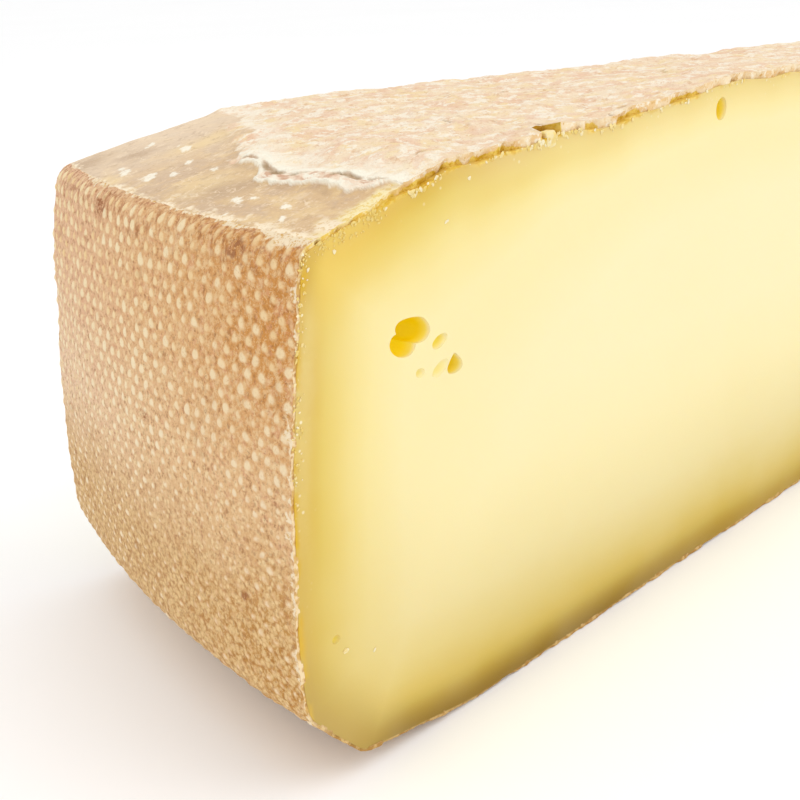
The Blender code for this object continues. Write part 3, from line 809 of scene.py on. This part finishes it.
def makeTopMaterial():
    tone = painted(topRind["colours"])
    material, place = newMaterial("flouryRind", {"Specular IOR Level": 0.30})
    angle = place.wheelTerms()[1]
    crust, fringe = place.attribute("crust"), place.attribute("fringe")
    fine, finer = place.noise(0.0012, 3.0, 0.6), place.noise(0.0005, 2.0, 0.6)
    patches = place.noise(0.0056, 5.0, 0.65, 0.3)
    wander = place.noise(0.0075, 4.0, 0.6, 2.1) - 0.5  # scratches run where this passes through zero
    scratches = wander.math("ABSOLUTE", wander).eased(0.016, 0.004)
    scratches = scratches * place.noise(0.005, 2.0).eased(0.44, 0.56)
    crumbly = (0.6 * fine + 0.4 * finer).eased(0.42, 0.52).mixed(tone["amber"], tone["crumbly"])
    waxy = patches.eased(0.47, 0.62).mixed(tone["waxy"], tone["waxyGold"]).layered(
        (place.noise(0.0070, 5.0, 0.62, 0.9).eased(0.47, 0.60) * 0.8, tone["waxyGrey"]),
        (angle.eased(0.16, 0.34) * 0.7, tone["waxyPale"]),
        (place.attribute("yellow") * 0.85, tone["waxyYellow"]),
        ((place.attribute("dull") * (0.5 + 0.8 * patches)).atMost(0.95), tone["dull"]),
        (place.noise(0.0046, 5.0, 0.7, 0.4, (0.8, 1.0, 1.0)).eased(0.57, 0.66) * 0.40, tone["crust"]),
        (place.noise(0.0022, 4.0, 0.7, 1.3).eased(0.46, 0.34) * 0.45, tone["waxyDark"]),
        ((fringe * (0.5 + fine)).atMost(1.0), crumbly),
        (fine.eased(0.56, 0.68) * 0.35, tone["crust"]),
        (scratches * 0.65, tone["crust"]))
    rough = place.noise(0.0080, 5.0, 0.65).eased(0.42, 0.58).mixed(tone["crust"], tone["crustPink"]).layered(
        (place.noise(0.0050, 5.0, 0.65, 0.5).eased(0.50, 0.60) * 0.9, tone["crustYellow"]),
        (place.noise(0.0034, 5.0, 0.70, 0.8).eased(0.51, 0.58) * 0.9, tone["crustWhite"]),
        (place.attribute("flakes") * 0.30, tone["crustWhite"]),
        (place.noise(0.0022, 5.0, 0.75, 1.1).eased(0.46, 0.36) * 0.75, tone["crustTan"]),
        (finer.eased(0.42, 0.28) * 0.45, tone["crustDark"]),
        (place.attribute("bloom") * fine.eased(0.30, 0.56) * 0.80, tone["crustWhite"]),
        (fringe * finer.eased(0.40, 0.60) * 0.5, tone["crustYellow"]))
    uneven = 1.3 * (place.noise(0.0017, 4.0, 0.75, 1.7) - 0.5) + 1.5 * (finer - 0.5)
    rims = (0.6 * fine + 0.4 * finer).eased(0.38, 0.50).mixed(tone["rimTan"], tone["rim"])
    colour = (crust + 0.6 * (fine - 0.5)).eased(0.25, 0.75).mixed(waxy, rough).layered(
        (place.attribute("fold") * 0.9, tone["fold"]),
        (place.attribute("shadow") * 0.4, tone["shadow"]),
        ((place.attribute("furrow") * (0.45 + 0.8 * finer)).atMost(1.0), tone["wrinkle"]),
        (place.attribute("lips") * fine.eased(0.15, 0.38), tone["fleck"]),
        # painted shade in the crevice's pockets and the cracks
        (place.attribute("dark") * 0.95, tone["crevice"]),
        ((place.attribute("fleck") - 0.30 + uneven).eased(-0.12, 0.75) * 0.90, tone["fleck"]),
        (place.attribute("rim") * fine.eased(0.22, 0.44), rims))
    relief = (fine + 0.5 * finer) * (0.35 + 0.65 * crust)
    return finish(material, colour, 0.50 + 0.35 * crust, relief, 0.7, 0.0007)


def makeTopRind():
    start, end = lengthAt(heelRind["topEnd"], wheel["topHeights"]), pathLength[-1] - wheel["tipRadius"]
    knots, steps = zip(*topRind["steps"])
    along = steppedLengths(start, end, topRind["rows"], lambda s: np.interp(s - start, knots, steps))
    return rindSlab("topRind", along, topRind["columns"], raiseTop, topInset, makeTopMaterial(), 0.0007)


# The underside keeps the plain print of the board it ripened on: shallow pits and a faint grain.
baseRind = dict(
    rows=220, columns=105, pits=0.00035,
    steps=((0, 2.0), (0.2, 1.0), (0.26, 0.7)),  # how far apart the rows lie, at lengths from the tip
    colours=dict(tan=(214, 172, 122), brown=(186, 138, 88), pale=(240, 214, 172)),
)


def raiseBase(lengths, angle, radius, height):  # the solid's relief less pits, which fade out at both ends
    x, y = radius * np.cos(angle), radius * np.sin(angle)
    pits = smoothStep(0.05, 0.5, layeredNoise(0.0090, 101, x, y))
    closing = smoothStep(0.004, 0.030, radius) * smoothStep(0, 0.004, lengths[-1, 0] - lengths)
    rise = rindRelief(radius, angle, height) - baseRind["pits"] * pits * closing
    return rise, dict(pits=pits)


def makeBaseMaterial():
    tone = painted(baseRind["colours"])
    material, place = newMaterial("boardPrintedRind", {"Specular IOR Level": 0.30})
    fine = place.noise(0.0013, 3.0, 0.6)
    colour = place.noise(0.012, 4.0, 0.6).eased(0.36, 0.64).mixed(tone["tan"], tone["brown"]).layered(
        (place.attribute("pits") * 0.5, tone["brown"]),
        (fine.eased(0.50, 0.68), tone["pale"]))
    return finish(material, colour, 0.85 - 0.1 * fine, fine, 0.5, 0.0004)


def makeBaseRind():
    start, end = wheel["tipRadius"], lengthAt(heelRind["footEnd"], wheel["baseHeights"])
    knots, steps = zip(*baseRind["steps"])
    along = steppedLengths(start, end, baseRind["rows"], lambda s: np.interp(s, knots, steps))
    material = makeBaseMaterial()
    return rindSlab("baseRind", along, baseRind["columns"], raiseBase, closingInset, material, 0.0003)


# The paste: one closed body under the rind, whose two flat ends are the cuts. Its eyes are in the near cut.
paste = dict(
    cutRecess=0.00020, waver=0.00008, outline=560, rings=34, wallSteps=40,
    middle=(0.150, 0.052),  # radius and height that the rings of each cut close in on
    lean=0.45,  # how far the eyes' depths shift towards the heel, a share of the depth
    # offset, height, half width, depth, half height, tilt in degrees, taper upwards
    eyes=((0.0284, 0.0781, 0.0042, 0.0036, 0.0022, -16, 0), (0.0260, 0.0761, 0.0031, 0.0024, 0.0021, -22, 0),
          (0.0345, 0.0747, 0.0019, 0.0009, 0.0011, 20, 0), (0.0382, 0.0699, 0.0017, 0.0022, 0.0018, 0, 0.6),
          (0.0345, 0.0699, 0.0021, 0.0005, 0.0011, 25, 0), (0.0297, 0.0704, 0.0011, 0.0005, 0.0008, 0, 0),
          (0.0081, 0.0298, 0.0009, 0.0005, 0.0008, 0, 0), (0.1205, 0.1030, 0.0020, 0.0026, 0.0024, 0, 0)),
    stops=((0.0, 222, 182, 92), (2.5, 219, 182, 86), (4.0, 224, 190, 88), (6.5, 233, 206, 110),
           (9.0, 239, 214, 126), (12.0, 245, 224, 146), (16.0, 249, 231, 162), (24.0, 251, 236, 178),
           (36.0, 251, 236, 179), (60.0, 252, 239, 189)),  # millimetres from the rind, and the colour there
    colours=dict(
        # the low colours below are partly the paste's own darker tone and partly painted shade low down
        low=(184, 150, 28), lowHeelToneAndShade=(206, 174, 74), lowestToneAndShade=(132, 98, 14),
        footCornerToneAndShade=(160, 126, 44), shallow=(252, 228, 96), hollow=(254, 216, 0),
        speck=(255, 246, 214), greyEdge=(230, 202, 120), amber=(224, 178, 44),
        amberPale=(244, 210, 104), amberAndChipShade=(206, 154, 30), corner=(243, 208, 104),
        topBand=(248, 226, 170), cloud=(255, 246, 208)),
)


def pasteOutline():  # a closed loop of lengths round the section, finer at the shoulder, then down the tip
    lengths = pathLength[pathPoints[:, 0] > wheel["tipRadius"]]
    shoulder = lengthAt(wheel["heelTop"][0], wheel["topHeights"])
    return steppedLengths(lengths[0], lengths[-1], paste["outline"],
                          lambda s: 0.6 + 0.4 * smoothStep(0.10, 0.02, np.abs(s - shoulder)))


def makePasteBody():
    lengths = pasteOutline()[:, None]
    radius, height, outR, outZ = onSection(lengths)
    angle = np.linspace(0, wheel["cutAngle"], paste["wallSteps"] + 1)[None, :]
    deep = rindRelief(radius, angle, height) - underRind(radius, height)
    wallRadius = np.maximum(radius + outR * deep, wheel["tipRadius"])
    wallHeight = height + outZ * deep
    tipHeights = np.linspace(wallHeight[-1, 0], wallHeight[0, 0], 14)[1:-1, None] + 0 * angle
    wallRadius = np.concatenate([wallRadius, 0 * tipHeights + wheel["tipRadius"]])
    wallHeight = np.concatenate([wallHeight, tipHeights])
    angles = angle + 0 * wallRadius
    shares = (np.arange(1, paste["rings"] + 1) / (paste["rings"] + 1))[None, :] ** 1.35
    middleRadius, middleHeight = paste["middle"]

    def rings(column):  # from the wall's edge towards the middle of a cut
        ringRadius = wallRadius[:, [column]] * (1 - shares) + middleRadius * shares
        return ringRadius, wallHeight[:, [column]] * (1 - shares) + middleHeight * shares

    nearRadius, nearHeight = (part[:, ::-1] for part in rings(0))
    farRadius, farHeight = rings(-1)
    gridRadius = np.concatenate([nearRadius, wallRadius, farRadius], axis=1)
    gridHeight = np.concatenate([nearHeight, wallHeight, farHeight], axis=1)
    gridAngle = np.concatenate([0 * nearRadius, angles, 0 * farRadius + wheel["cutAngle"]], axis=1)
    rows, columns = gridRadius.shape
    points = toPlace(gridRadius, gridAngle, gridHeight).reshape(-1, 3)
    points = np.concatenate([points, toPlace(
        np.full(2, middleRadius), np.array([0, wheel["cutAngle"]]), np.full(2, middleHeight))])
    allAngles = np.append(gridAngle.ravel(), [0, wheel["cutAngle"]])
    points += recess(points, allAngles)
    index = np.arange(rows * columns).reshape(rows, columns)
    looped = np.concatenate([index, index[:1]])
    nearFan = fanFaces(looped[:-1, 0], looped[1:, 0], index.size)
    farFan = fanFaces(looped[1:, -1], looped[:-1, -1], index.size + 1)
    return points, [gridFaces(looped), nearFan, farFan]


def recess(points, angles):  # both cuts lie a hair inside the box, and waver as a long knife leaves them
    x, z = points[:, 0], points[:, 2]
    toNear, toFar = (angles < 1e-6)[:, None], (angles > wheel["cutAngle"] - 1e-6)[:, None]
    depth = paste["cutRecess"] + paste["waver"] * layeredNoise(0.045, 111, x, z, layers=2)
    spare = smoothStep(0, 0.012, tipX - x)
    inwardFar = np.array([-math.sin(wheel["cutAngle"]), -math.cos(wheel["cutAngle"]), 0])
    step = (depth * spare)[:, None]
    return step * (toNear * np.array([0, 1, 0]) + toFar * inwardFar)


# A hollow's cutter: an uneven ball worked out over turns and rises, closed at its two poles. A squareness
# below 1 raises its three parts to that power, which fills the ball out towards a block. A taper narrows it
# upwards, and a lean moves it towards the heel with its depth.
def makeHollow(middle, halves, tilt, seed, squareness=1.0, taper=0.0, lean=0.0):
    turns, rises, unevenness = 40, 22, 0.10
    turn = np.linspace(0, 2 * math.pi, turns, endpoint=False)[None, :]
    rise = np.linspace(0, math.pi, rises + 2)[1:-1, None]
    level = np.sin(rise)
    ball = np.stack([level * np.cos(turn), np.cos(rise) + 0 * turn, level * np.sin(turn)], axis=-1)
    ball = np.concatenate([ball.reshape(-1, 3), [[0, 1, 0], [0, -1, 0]]])
    ball = np.sign(ball) * np.abs(ball) ** squareness
    uneven = 1 + unevenness * layeredNoise(0.9, seed, ball[:, 0] + 5, ball[:, 1], ball[:, 2], layers=2)
    ball = ball * uneven[:, None]
    ball[:, 0] *= 1 - taper * ball[:, 2]
    ball = ball * np.array(halves)
    cos, sin = math.cos(math.radians(tilt)), math.sin(math.radians(tilt))
    x, y, z = ball.T
    ball = np.stack([x * cos - z * sin - lean * np.maximum(y, 0), y, x * sin + z * cos], axis=1)
    index = np.arange(rises * turns).reshape(rises, turns)
    looped = np.concatenate([index, index[:, :1]], axis=1)
    top = fanFaces(looped[0, 1:], looped[0, :-1], index.size)
    bottom = fanFaces(looped[-1, :-1], looped[-1, 1:], index.size + 1)
    return ball + np.array(middle), [gridFaces(looped)[:, ::-1], top, bottom]


def carveEyes(body):  # cuts the eyes out of the near cut, and joins points that the cutting left doubled
    cutters = bpy.data.collections.new("hollows")
    bpy.context.scene.collection.children.link(cutters)
    for number, (offset, height, halfWidth, depth, halfHeight, tilt, taper) in enumerate(paste["eyes"]):
        middle = (heelX + offset, nearY + paste["cutRecess"], height)
        halves = (halfWidth, depth, halfHeight)
        ball, faces = makeHollow(middle, halves, tilt, 120 + number, taper=taper, lean=paste["lean"])
        cutter = bpy.data.meshes.new(f"hollow{number}")
        cutter.from_pydata(ball.tolist(), [], [face for part in faces for face in part.tolist()])
        cutters.objects.link(bpy.data.objects.new(cutter.name, cutter))
    carve = body.modifiers.new("eyes", "BOOLEAN")
    carve.operation, carve.solver, carve.operand_type = "DIFFERENCE", "EXACT", "COLLECTION"
    carve.collection = cutters
    bpy.context.view_layer.update()
    carved = bpy.data.meshes.new_from_object(body.evaluated_get(bpy.context.evaluated_depsgraph_get()))
    body.modifiers.clear()
    clean = bmesh.new()
    clean.from_mesh(carved)
    bmesh.ops.remove_doubles(clean, verts=clean.verts, dist=1e-6)
    bmesh.ops.dissolve_degenerate(clean, dist=1e-7, edges=clean.edges)
    clean.to_mesh(carved)
    clean.free()
    body.data = carved
    for cutter in list(cutters.objects):
        bpy.data.objects.remove(cutter)
    bpy.data.collections.remove(cutters)
    print("pasteWedge: eyes cut")


def makePaste():
    material = makePasteMaterial()
    points, faces = makePasteBody()
    body = newPiece("pasteWedge", points, faces, [material], [0] * len(faces))
    carveEyes(body)
    body.data.set_sharp_from_angle(angle=math.radians(40))
    places = np.zeros(len(body.data.vertices) * 3, dtype=np.float32)
    body.data.vertices.foreach_get("co", places)
    x, y, z = places.reshape(-1, 3).T
    radius, angle = np.hypot(tipX - x, y - nearY), np.arctan2(y - nearY, tipX - x)
    offset = wheel["radius"] - radius
    surface = topAt(offset)
    surface = surface + rindRelief(np.maximum(radius, 0.001), angle, surface)
    setNumbers(body, "hollow", np.clip((y - nearY - paste["cutRecess"]) / 0.004, 0, 1) * nearHollow(x, y, z))
    setNumbers(body, "toTop", surface - z)
    setNumbers(body, "under", surface - underRind(radius, surface) - z)
    setNumbers(body, "nick", nickStrength(offset) * (angle < wheel["cutAngle"] / 2))
    return body


def nearHollow(x, y, z):  # 1 within reach of an eye's middle, so that the wall under the rind isn't counted
    inside = strongest(np.hypot(x - heelX - offset, z - height) < 1.5 * max(sizes)
                       for offset, height, *sizes in [eye[:5] for eye in paste["eyes"]])
    return inside * (y < nearY + 0.008)


# The paste darkens towards the rind. How near the rind is comes from the piece's own numbers for the top, and
# from the section's formulas for the rest: the heel's parabola, the slanting foot and the flat underside. The
# darker band under the top narrows towards the tip. Low down it darkens further, partly its own tone and partly
# painted shade from below.
def makePasteMaterial():
    tone = painted(paste["colours"])
    material, place = newMaterial("paste", {
        "Specular IOR Level": 0.10, "Subsurface Weight": 0.12, "Subsurface Radius": (0.0040, 0.0024, 0.0008),
        "Subsurface Scale": 1.0})
    offset, height = place.wheelTerms()[::2]
    mottle, wander = place.noise(0.0013, 3.0, 0.6), 0.0035 * (place.noise(0.022, 2.0) - 0.5)
    toTop, nick, hollow = [place.attribute(name) for name in ("toTop", "nick", "hollow")]
    (topOffset, topHeight), (lipOffset, lipHeight) = wheel["heelTop"], wheel["underLip"]
    bulge = (height - wheel["widestHeight"]) / (topHeight - wheel["widestHeight"])
    toHeel = offset - topOffset * bulge * bulge
    fromTop = toTop * (1 + 1.3 * offset.eased(0.030, 0.105))
    toFoot = (offset - lipOffset) * 0.73 + (height - lipHeight) * 0.68
    toBase = (height - 0.11 * (wheel["footprint"] - offset).atLeast(0.0)).atMost(toFoot)
    nearest = toHeel.atMost(fromTop).atMost(toBase) + wander
    colour = paint(*paste["stops"][0][1:])
    for (startMm, *_), (endMm, *rgb) in zip(paste["stops"], paste["stops"][1:]):
        span = {"Value": nearest, "From Min": startMm / 1000, "From Max": endMm / 1000}
        colour = nearest.node("MapRange", None, span).mixed(colour, paint(*rgb))

    # painted shade: darker towards the underside, partly the paste's own tone and partly shade from below
    lowToneAndPaintedShade = (1 - (toBase + wander).eased(-0.002, 0.050)) ** 1.15
    lowestToneAndShade = toBase.eased(0.0095, 0.0) * (0.85 - 0.55 * offset.eased(0.070, 0.170))
    lowestToneAndShade = lowestToneAndShade * offset.eased(0.008, 0.024)
    ragged = toHeel + 0.0024 * (place.noise(0.0060, 3.0, 0.6) - 0.5)
    byHeel = (1 - ragged.eased(0.0026, 0.0056)) * toTop.eased(0.004, 0.012) * toBase.eased(0.010, 0.036)
    smear = (1 - ragged.eased(0.0006, 0.0022)) * toTop.eased(0.001, 0.004)
    specks = place.specks(0.0016, 0.24) * place.noise(0.006, 2.0).eased(0.50, 0.62)
    corner = (1 - toHeel.eased(0.006, 0.030)) * (1 - toTop.eased(0.003, 0.018)) * toHeel.eased(0.002, 0.006)
    under = place.attribute("under") + 0.0016 * (place.noise(0.0026, 4.0, 0.65) - 0.5)
    torn = (nick * 0.85).atMost(1.0).atLeast(place.noise(0.006, 2.0).eased(0.52, 0.60) * 0.5)
    colour = colour.layered(
        (lowToneAndPaintedShade * 0.52, toHeel.eased(0.060, 0.010).mixed(tone["low"], tone["lowHeelToneAndShade"])),
        (lowestToneAndShade, tone["lowestToneAndShade"]),
        # painted shade in the foot's corner by the heel, partly the paste's own tone
        (toBase.eased(0.013, 0.0) * (1 - offset.eased(0.012, 0.030)) * 0.45, tone["footCornerToneAndShade"]),
        (byHeel * (0.50 + 0.5 * mottle), tone["greyEdge"]),
        (smear * place.noise(0.0040, 3.0, 0.6, 0.0, (1.0, 1.0, 0.4)).eased(0.38, 0.52), tone["amber"]),
        (specks * byHeel.atLeast(1 - toTop.eased(0.002, 0.006)) * 0.7, tone["speck"]),
        (corner * 0.7, tone["corner"]),
        (toTop.eased(0.009, 0.003) * offset.eased(0.030, 0.055) * 0.40, tone["topBand"]),
        (under.eased(0.0008, 0.0001) * torn,
         mottle.eased(0.42, 0.58).mixed(tone["amber"], tone["amberPale"])),
        # darker amber just under the rind in the chip: partly the torn paste's amber, partly painted shade
        # under the edge
        ((nick - 1.0).atLeast(0.0) * under.eased(0.0006, 0.0) * 0.7, tone["amberAndChipShade"]),
        (hollow.eased(0.02, 0.22), tone["shallow"]),
        (hollow.eased(0.08, 0.46), tone["hollow"]),
        (place.noise(0.035, 3.0).eased(0.30, 0.70) * 0.10 * (1 - hollow.eased(0.0, 0.1)), tone["cloud"]))
    knife = place.noise(0.0030, 3.0, 0.5, 0.0, (0.25, 1.0, 1.0))
    return finish(material, colour, 0.40 + 0.14 * mottle, mottle * 0.5 + knife, 0.12, 0.0004)


# Crumbs of broken rind and paste along the near cut's edges, and the square crumb caught in the chip. A band
# gives where along its edge it starts and ends, how many crumbs it has, how far in they reach, their size and
# how many of them are golden.
crumbs = dict(
    seed=7, thickness=0.35, clusterSpread=0.0009,  # their thickness is a share of their width
    topBands=((0.0062, 0.0225, 90, 0.0024, 0.00022, 1.0), (0.0235, 0.0400, 30, 0.0008, 0.00034, 0.3),
              (0.0430, 0.0590, 22, 0.0006, 0.00030, 0.2), (0.0600, 0.0690, 26, 0.0013, 0.00036, 0.1),
              (0.0690, 0.0830, 24, 0.0008, 0.00034, 0.1), (0.0850, 0.1300, 36, 0.0010, 0.00028, 0.2),
              (0.1300, 0.2300, 40, 0.0008, 0.00026, 0.2)),
    heelBand=(0.0560, 0.0950, 110, 0.0020, 0.00019, 0.6),
    lone=((0.0123, 0.0941, 0.0004), (0.0367, 0.0943, 0.0004), (0.0424, 0.1005, 0.0005),
          (0.0101, 0.0267, 0.0007), (0.0165, 0.0238, 0.0004)),  # offset, height, half width
    square=dict(
        offset=0.0639, halfWidth=0.0013, halfDepth=0.0010, halfHeight=0.0014, below=0.0013, golden=0.4),
    colours=dict(pale=(252, 238, 196), cream=(248, 222, 150), gold=(240, 206, 104)),
)


def crumbPlaces(draws):  # a row for every crumb: offset, height, half width and how golden it is
    def clustered(first, last, count, every):  # all but one in every few lie in clusters
        numbers, places = np.arange(count), draws.uniform(first, last, count)
        places = np.where(numbers % every, places[numbers % (count // every)], places)
        return places + crumbs["clusterSpread"] * draws.normal(0, 1, count)

    rows = []
    for first, last, count, reach, size, golden in crumbs["topBands"]:
        offset = clustered(first, last, count, 4)
        surface = topAt(offset) + rindRelief(wheel["radius"] - offset, 0 * offset, topAt(offset))
        below = underRind(wheel["radius"] - offset, surface) - 0.0001 + reach * draws.power(0.7, count)
        half, tone = size * draws.uniform(0.5, 1.6, count), draws.uniform(0, 1, count) < golden
        rows.append(np.stack([offset, surface - below, half, tone], axis=1))
    first, last, count, reach, size, golden = crumbs["heelBand"]
    height = clustered(first, last, count, 3)
    offset = np.array([heelOffset(h) for h in height]) + 0.0003 + reach * draws.power(0.7, count)
    half, tone = size * draws.uniform(0.5, 1.8, count), draws.uniform(0, 1, count) < golden
    rows.append(np.stack([offset, height, half, tone], axis=1))
    rows.append(np.array([(*place, 0) for place in crumbs["lone"]]))
    return np.concatenate(rows)


def makeCrumbMaterial():
    tone = painted(crumbs["colours"])
    material, place = newMaterial("crumb", {
        "Specular IOR Level": 0.25, "Subsurface Weight": 0.10, "Subsurface Radius": (0.002, 0.0014, 0.0006),
        "Subsurface Scale": 1.0})
    colour = place.noise(0.0016, 2.0).eased(0.42, 0.58).mixed(tone["cream"], tone["pale"])
    colour = (place.attribute("golden") * 0.8).mixed(colour, tone["gold"])
    return finish(material, colour, 0.7 + 0.2 * place.noise(0.002), place.noise(0.0004), 0.4, 0.0002)


# Each crumb is a twelve-cornered lump with every corner pulled in or out, turned at random and flattened on
# the cut.
def makeCrumbs():
    draws = np.random.default_rng(crumbs["seed"])
    golden = (1 + math.sqrt(5)) / 2
    corners = np.array([(a, b * golden, 0) for a in (-1, 1) for b in (-1, 1)])
    corners = np.concatenate([corners, corners[:, [2, 0, 1]], corners[:, [1, 2, 0]]]) / math.hypot(1, golden)
    span = np.linalg.norm(corners[:, None] - corners[None, :], axis=2)
    joined = np.abs(span - np.min(span[span > 0.1])) < 0.01
    faces = [(a, b, c) for a in range(12) for b in range(a + 1, 12) for c in range(b + 1, 12)
             if joined[a, b] and joined[b, c] and joined[a, c]]
    faces = [f if np.linalg.det(corners[list(f)]) > 0 else f[::-1] for f in faces]
    places = crumbPlaces(draws)
    count = len(places)
    lumps = corners[None, :, :] * draws.uniform(0.65, 1.25, (count, 12, 1))
    turn = draws.uniform(0, 2 * math.pi, count)[:, None]
    wide, tall = draws.uniform(0.8, 1.5, count)[:, None], draws.uniform(0.6, 1.0, count)[:, None]
    x, y, z = lumps[:, :, 0] * wide, lumps[:, :, 1] * crumbs["thickness"], lumps[:, :, 2] * tall
    x, z = x * np.cos(turn) - z * np.sin(turn), x * np.sin(turn) + z * np.cos(turn)
    offset, height, half = [places[:, k][:, None] for k in range(3)]
    points = np.stack([heelX + offset + x * half,
                       nearY + paste["cutRecess"] - 0.00006 + y * half, height + z * half], axis=2)
    numbers = (12 * np.arange(count))[:, None, None] + np.array(faces)[None, :, :]
    square = crumbs["square"]
    middle = (heelX + square["offset"], nearY + square["halfDepth"] + 0.00005,
              topAt(square["offset"]) + ridge["crustRise"] - square["below"])
    halves = (square["halfWidth"], square["halfDepth"], square["halfHeight"])
    block, blockFaces = makeHollow(middle, halves, 4, 140, 0.30)
    points = np.concatenate([points.reshape(-1, 3), block])
    faces = [numbers.reshape(-1, 3)] + [part + 12 * count for part in blockFaces]
    piece = newPiece("rindCrumbs", points, faces, [makeCrumbMaterial()], [0] * len(faces))
    goldens = np.concatenate([np.repeat(places[:, 3], 12), np.full(len(block), square["golden"])])
    setNumbers(piece, "golden", goldens)
    piece.data.set_sharp_from_angle(angle=math.radians(40))
    return piece


cutRindMaterial = makeCutRindMaterial()
pieces = [makeHeelRind(), makeTopRind(), makeBaseRind(), makePaste(), makeCrumbs()]
for piece in pieces:
    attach(piece, "root")
    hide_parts("cheese_wedge")


# The camera stands on the heel's side of the near cut and looks slightly down along the wedge.
view = dict(
    fromTip=(-0.39066, -0.12537, 0.13413), turn=44.56, rise=-20.83, roll=-2.08, lens=52.19, sensor=36.0,
)


def makeCamera():
    data = bpy.data.cameras.new("camera")
    data.lens, data.sensor_width, data.sensor_height = view["lens"], view["sensor"], view["sensor"]
    data.clip_start, data.clip_end = 0.01, 50
    camera = added(bpy.data.objects.new("camera", data))
    x, y, z = view["fromTip"]
    turning = Matrix.Rotation(-math.radians(view["turn"]), 4, "Z")
    turning = turning @ Matrix.Rotation(math.pi / 2 + math.radians(view["rise"]), 4, "X")
    turning = turning @ Matrix.Rotation(math.radians(view["roll"]), 4, "Z")
    camera.matrix_world = Matrix.Translation((tipX + x, nearY + y, z)) @ turning
    bpy.context.scene.camera = camera


# A pale floor under soft light: a bright surround, a wide light above, and a weaker one on the heel's side.
studio = dict(
    surround=1.02, floorSize=60.0, floorLevel=-0.0002, floorShade=251,
    lights=(  # name, place, width, power, aimed at
        ("above", (0.35, -0.75, 1.05), 1.0, 3.6, (0.0, 0.0, 0.05)),
        ("heelSide", (-1.10, -0.30, 0.60), 0.8, 1.6, (0.0, 0.0, 0.05)),
    ),
)


def makeStudio():
    half, level = studio["floorSize"] / 2, studio["floorLevel"]
    corners = [(half * x, half * y, level) for x, y in ((-1, -1), (1, -1), (1, 1), (-1, 1))]
    mesh = bpy.data.meshes.new("floor")
    mesh.from_pydata(corners, [], [(0, 1, 2, 3)])
    floor = added(bpy.data.objects.new("floor", mesh))
    material, place = newMaterial("paleFloor", {"Specular IOR Level": 0.2})
    grain = place.noise(0.4, 2.0)
    shade = studio["floorShade"] / 255
    colour = grain.mixed((shade,) * 3 + (1.0,), (0.97 * shade,) * 3 + (1.0,))
    mesh.materials.append(finish(material, colour, 0.7 + 0.1 * grain, grain, 0.02, 0.001))
    for name, place, width, power, target in studio["lights"]:
        data = bpy.data.lights.new(name, "AREA")
        data.shape, data.size, data.energy = "DISK", width, power
        light = added(bpy.data.objects.new(name, data))
        light.location = place
        light.rotation_euler = (Vector(target) - Vector(place)).to_track_quat("-Z", "Y").to_euler()
    world = bpy.data.worlds.new("surround")
    world.use_nodes = True
    background = world.node_tree.nodes["Background"].inputs
    background["Color"].default_value, background["Strength"].default_value = (1, 1, 1, 1), studio["surround"]
    bpy.context.scene.world = world
    bpy.context.scene.view_settings.view_transform = "Standard"


makeCamera()
makeStudio()
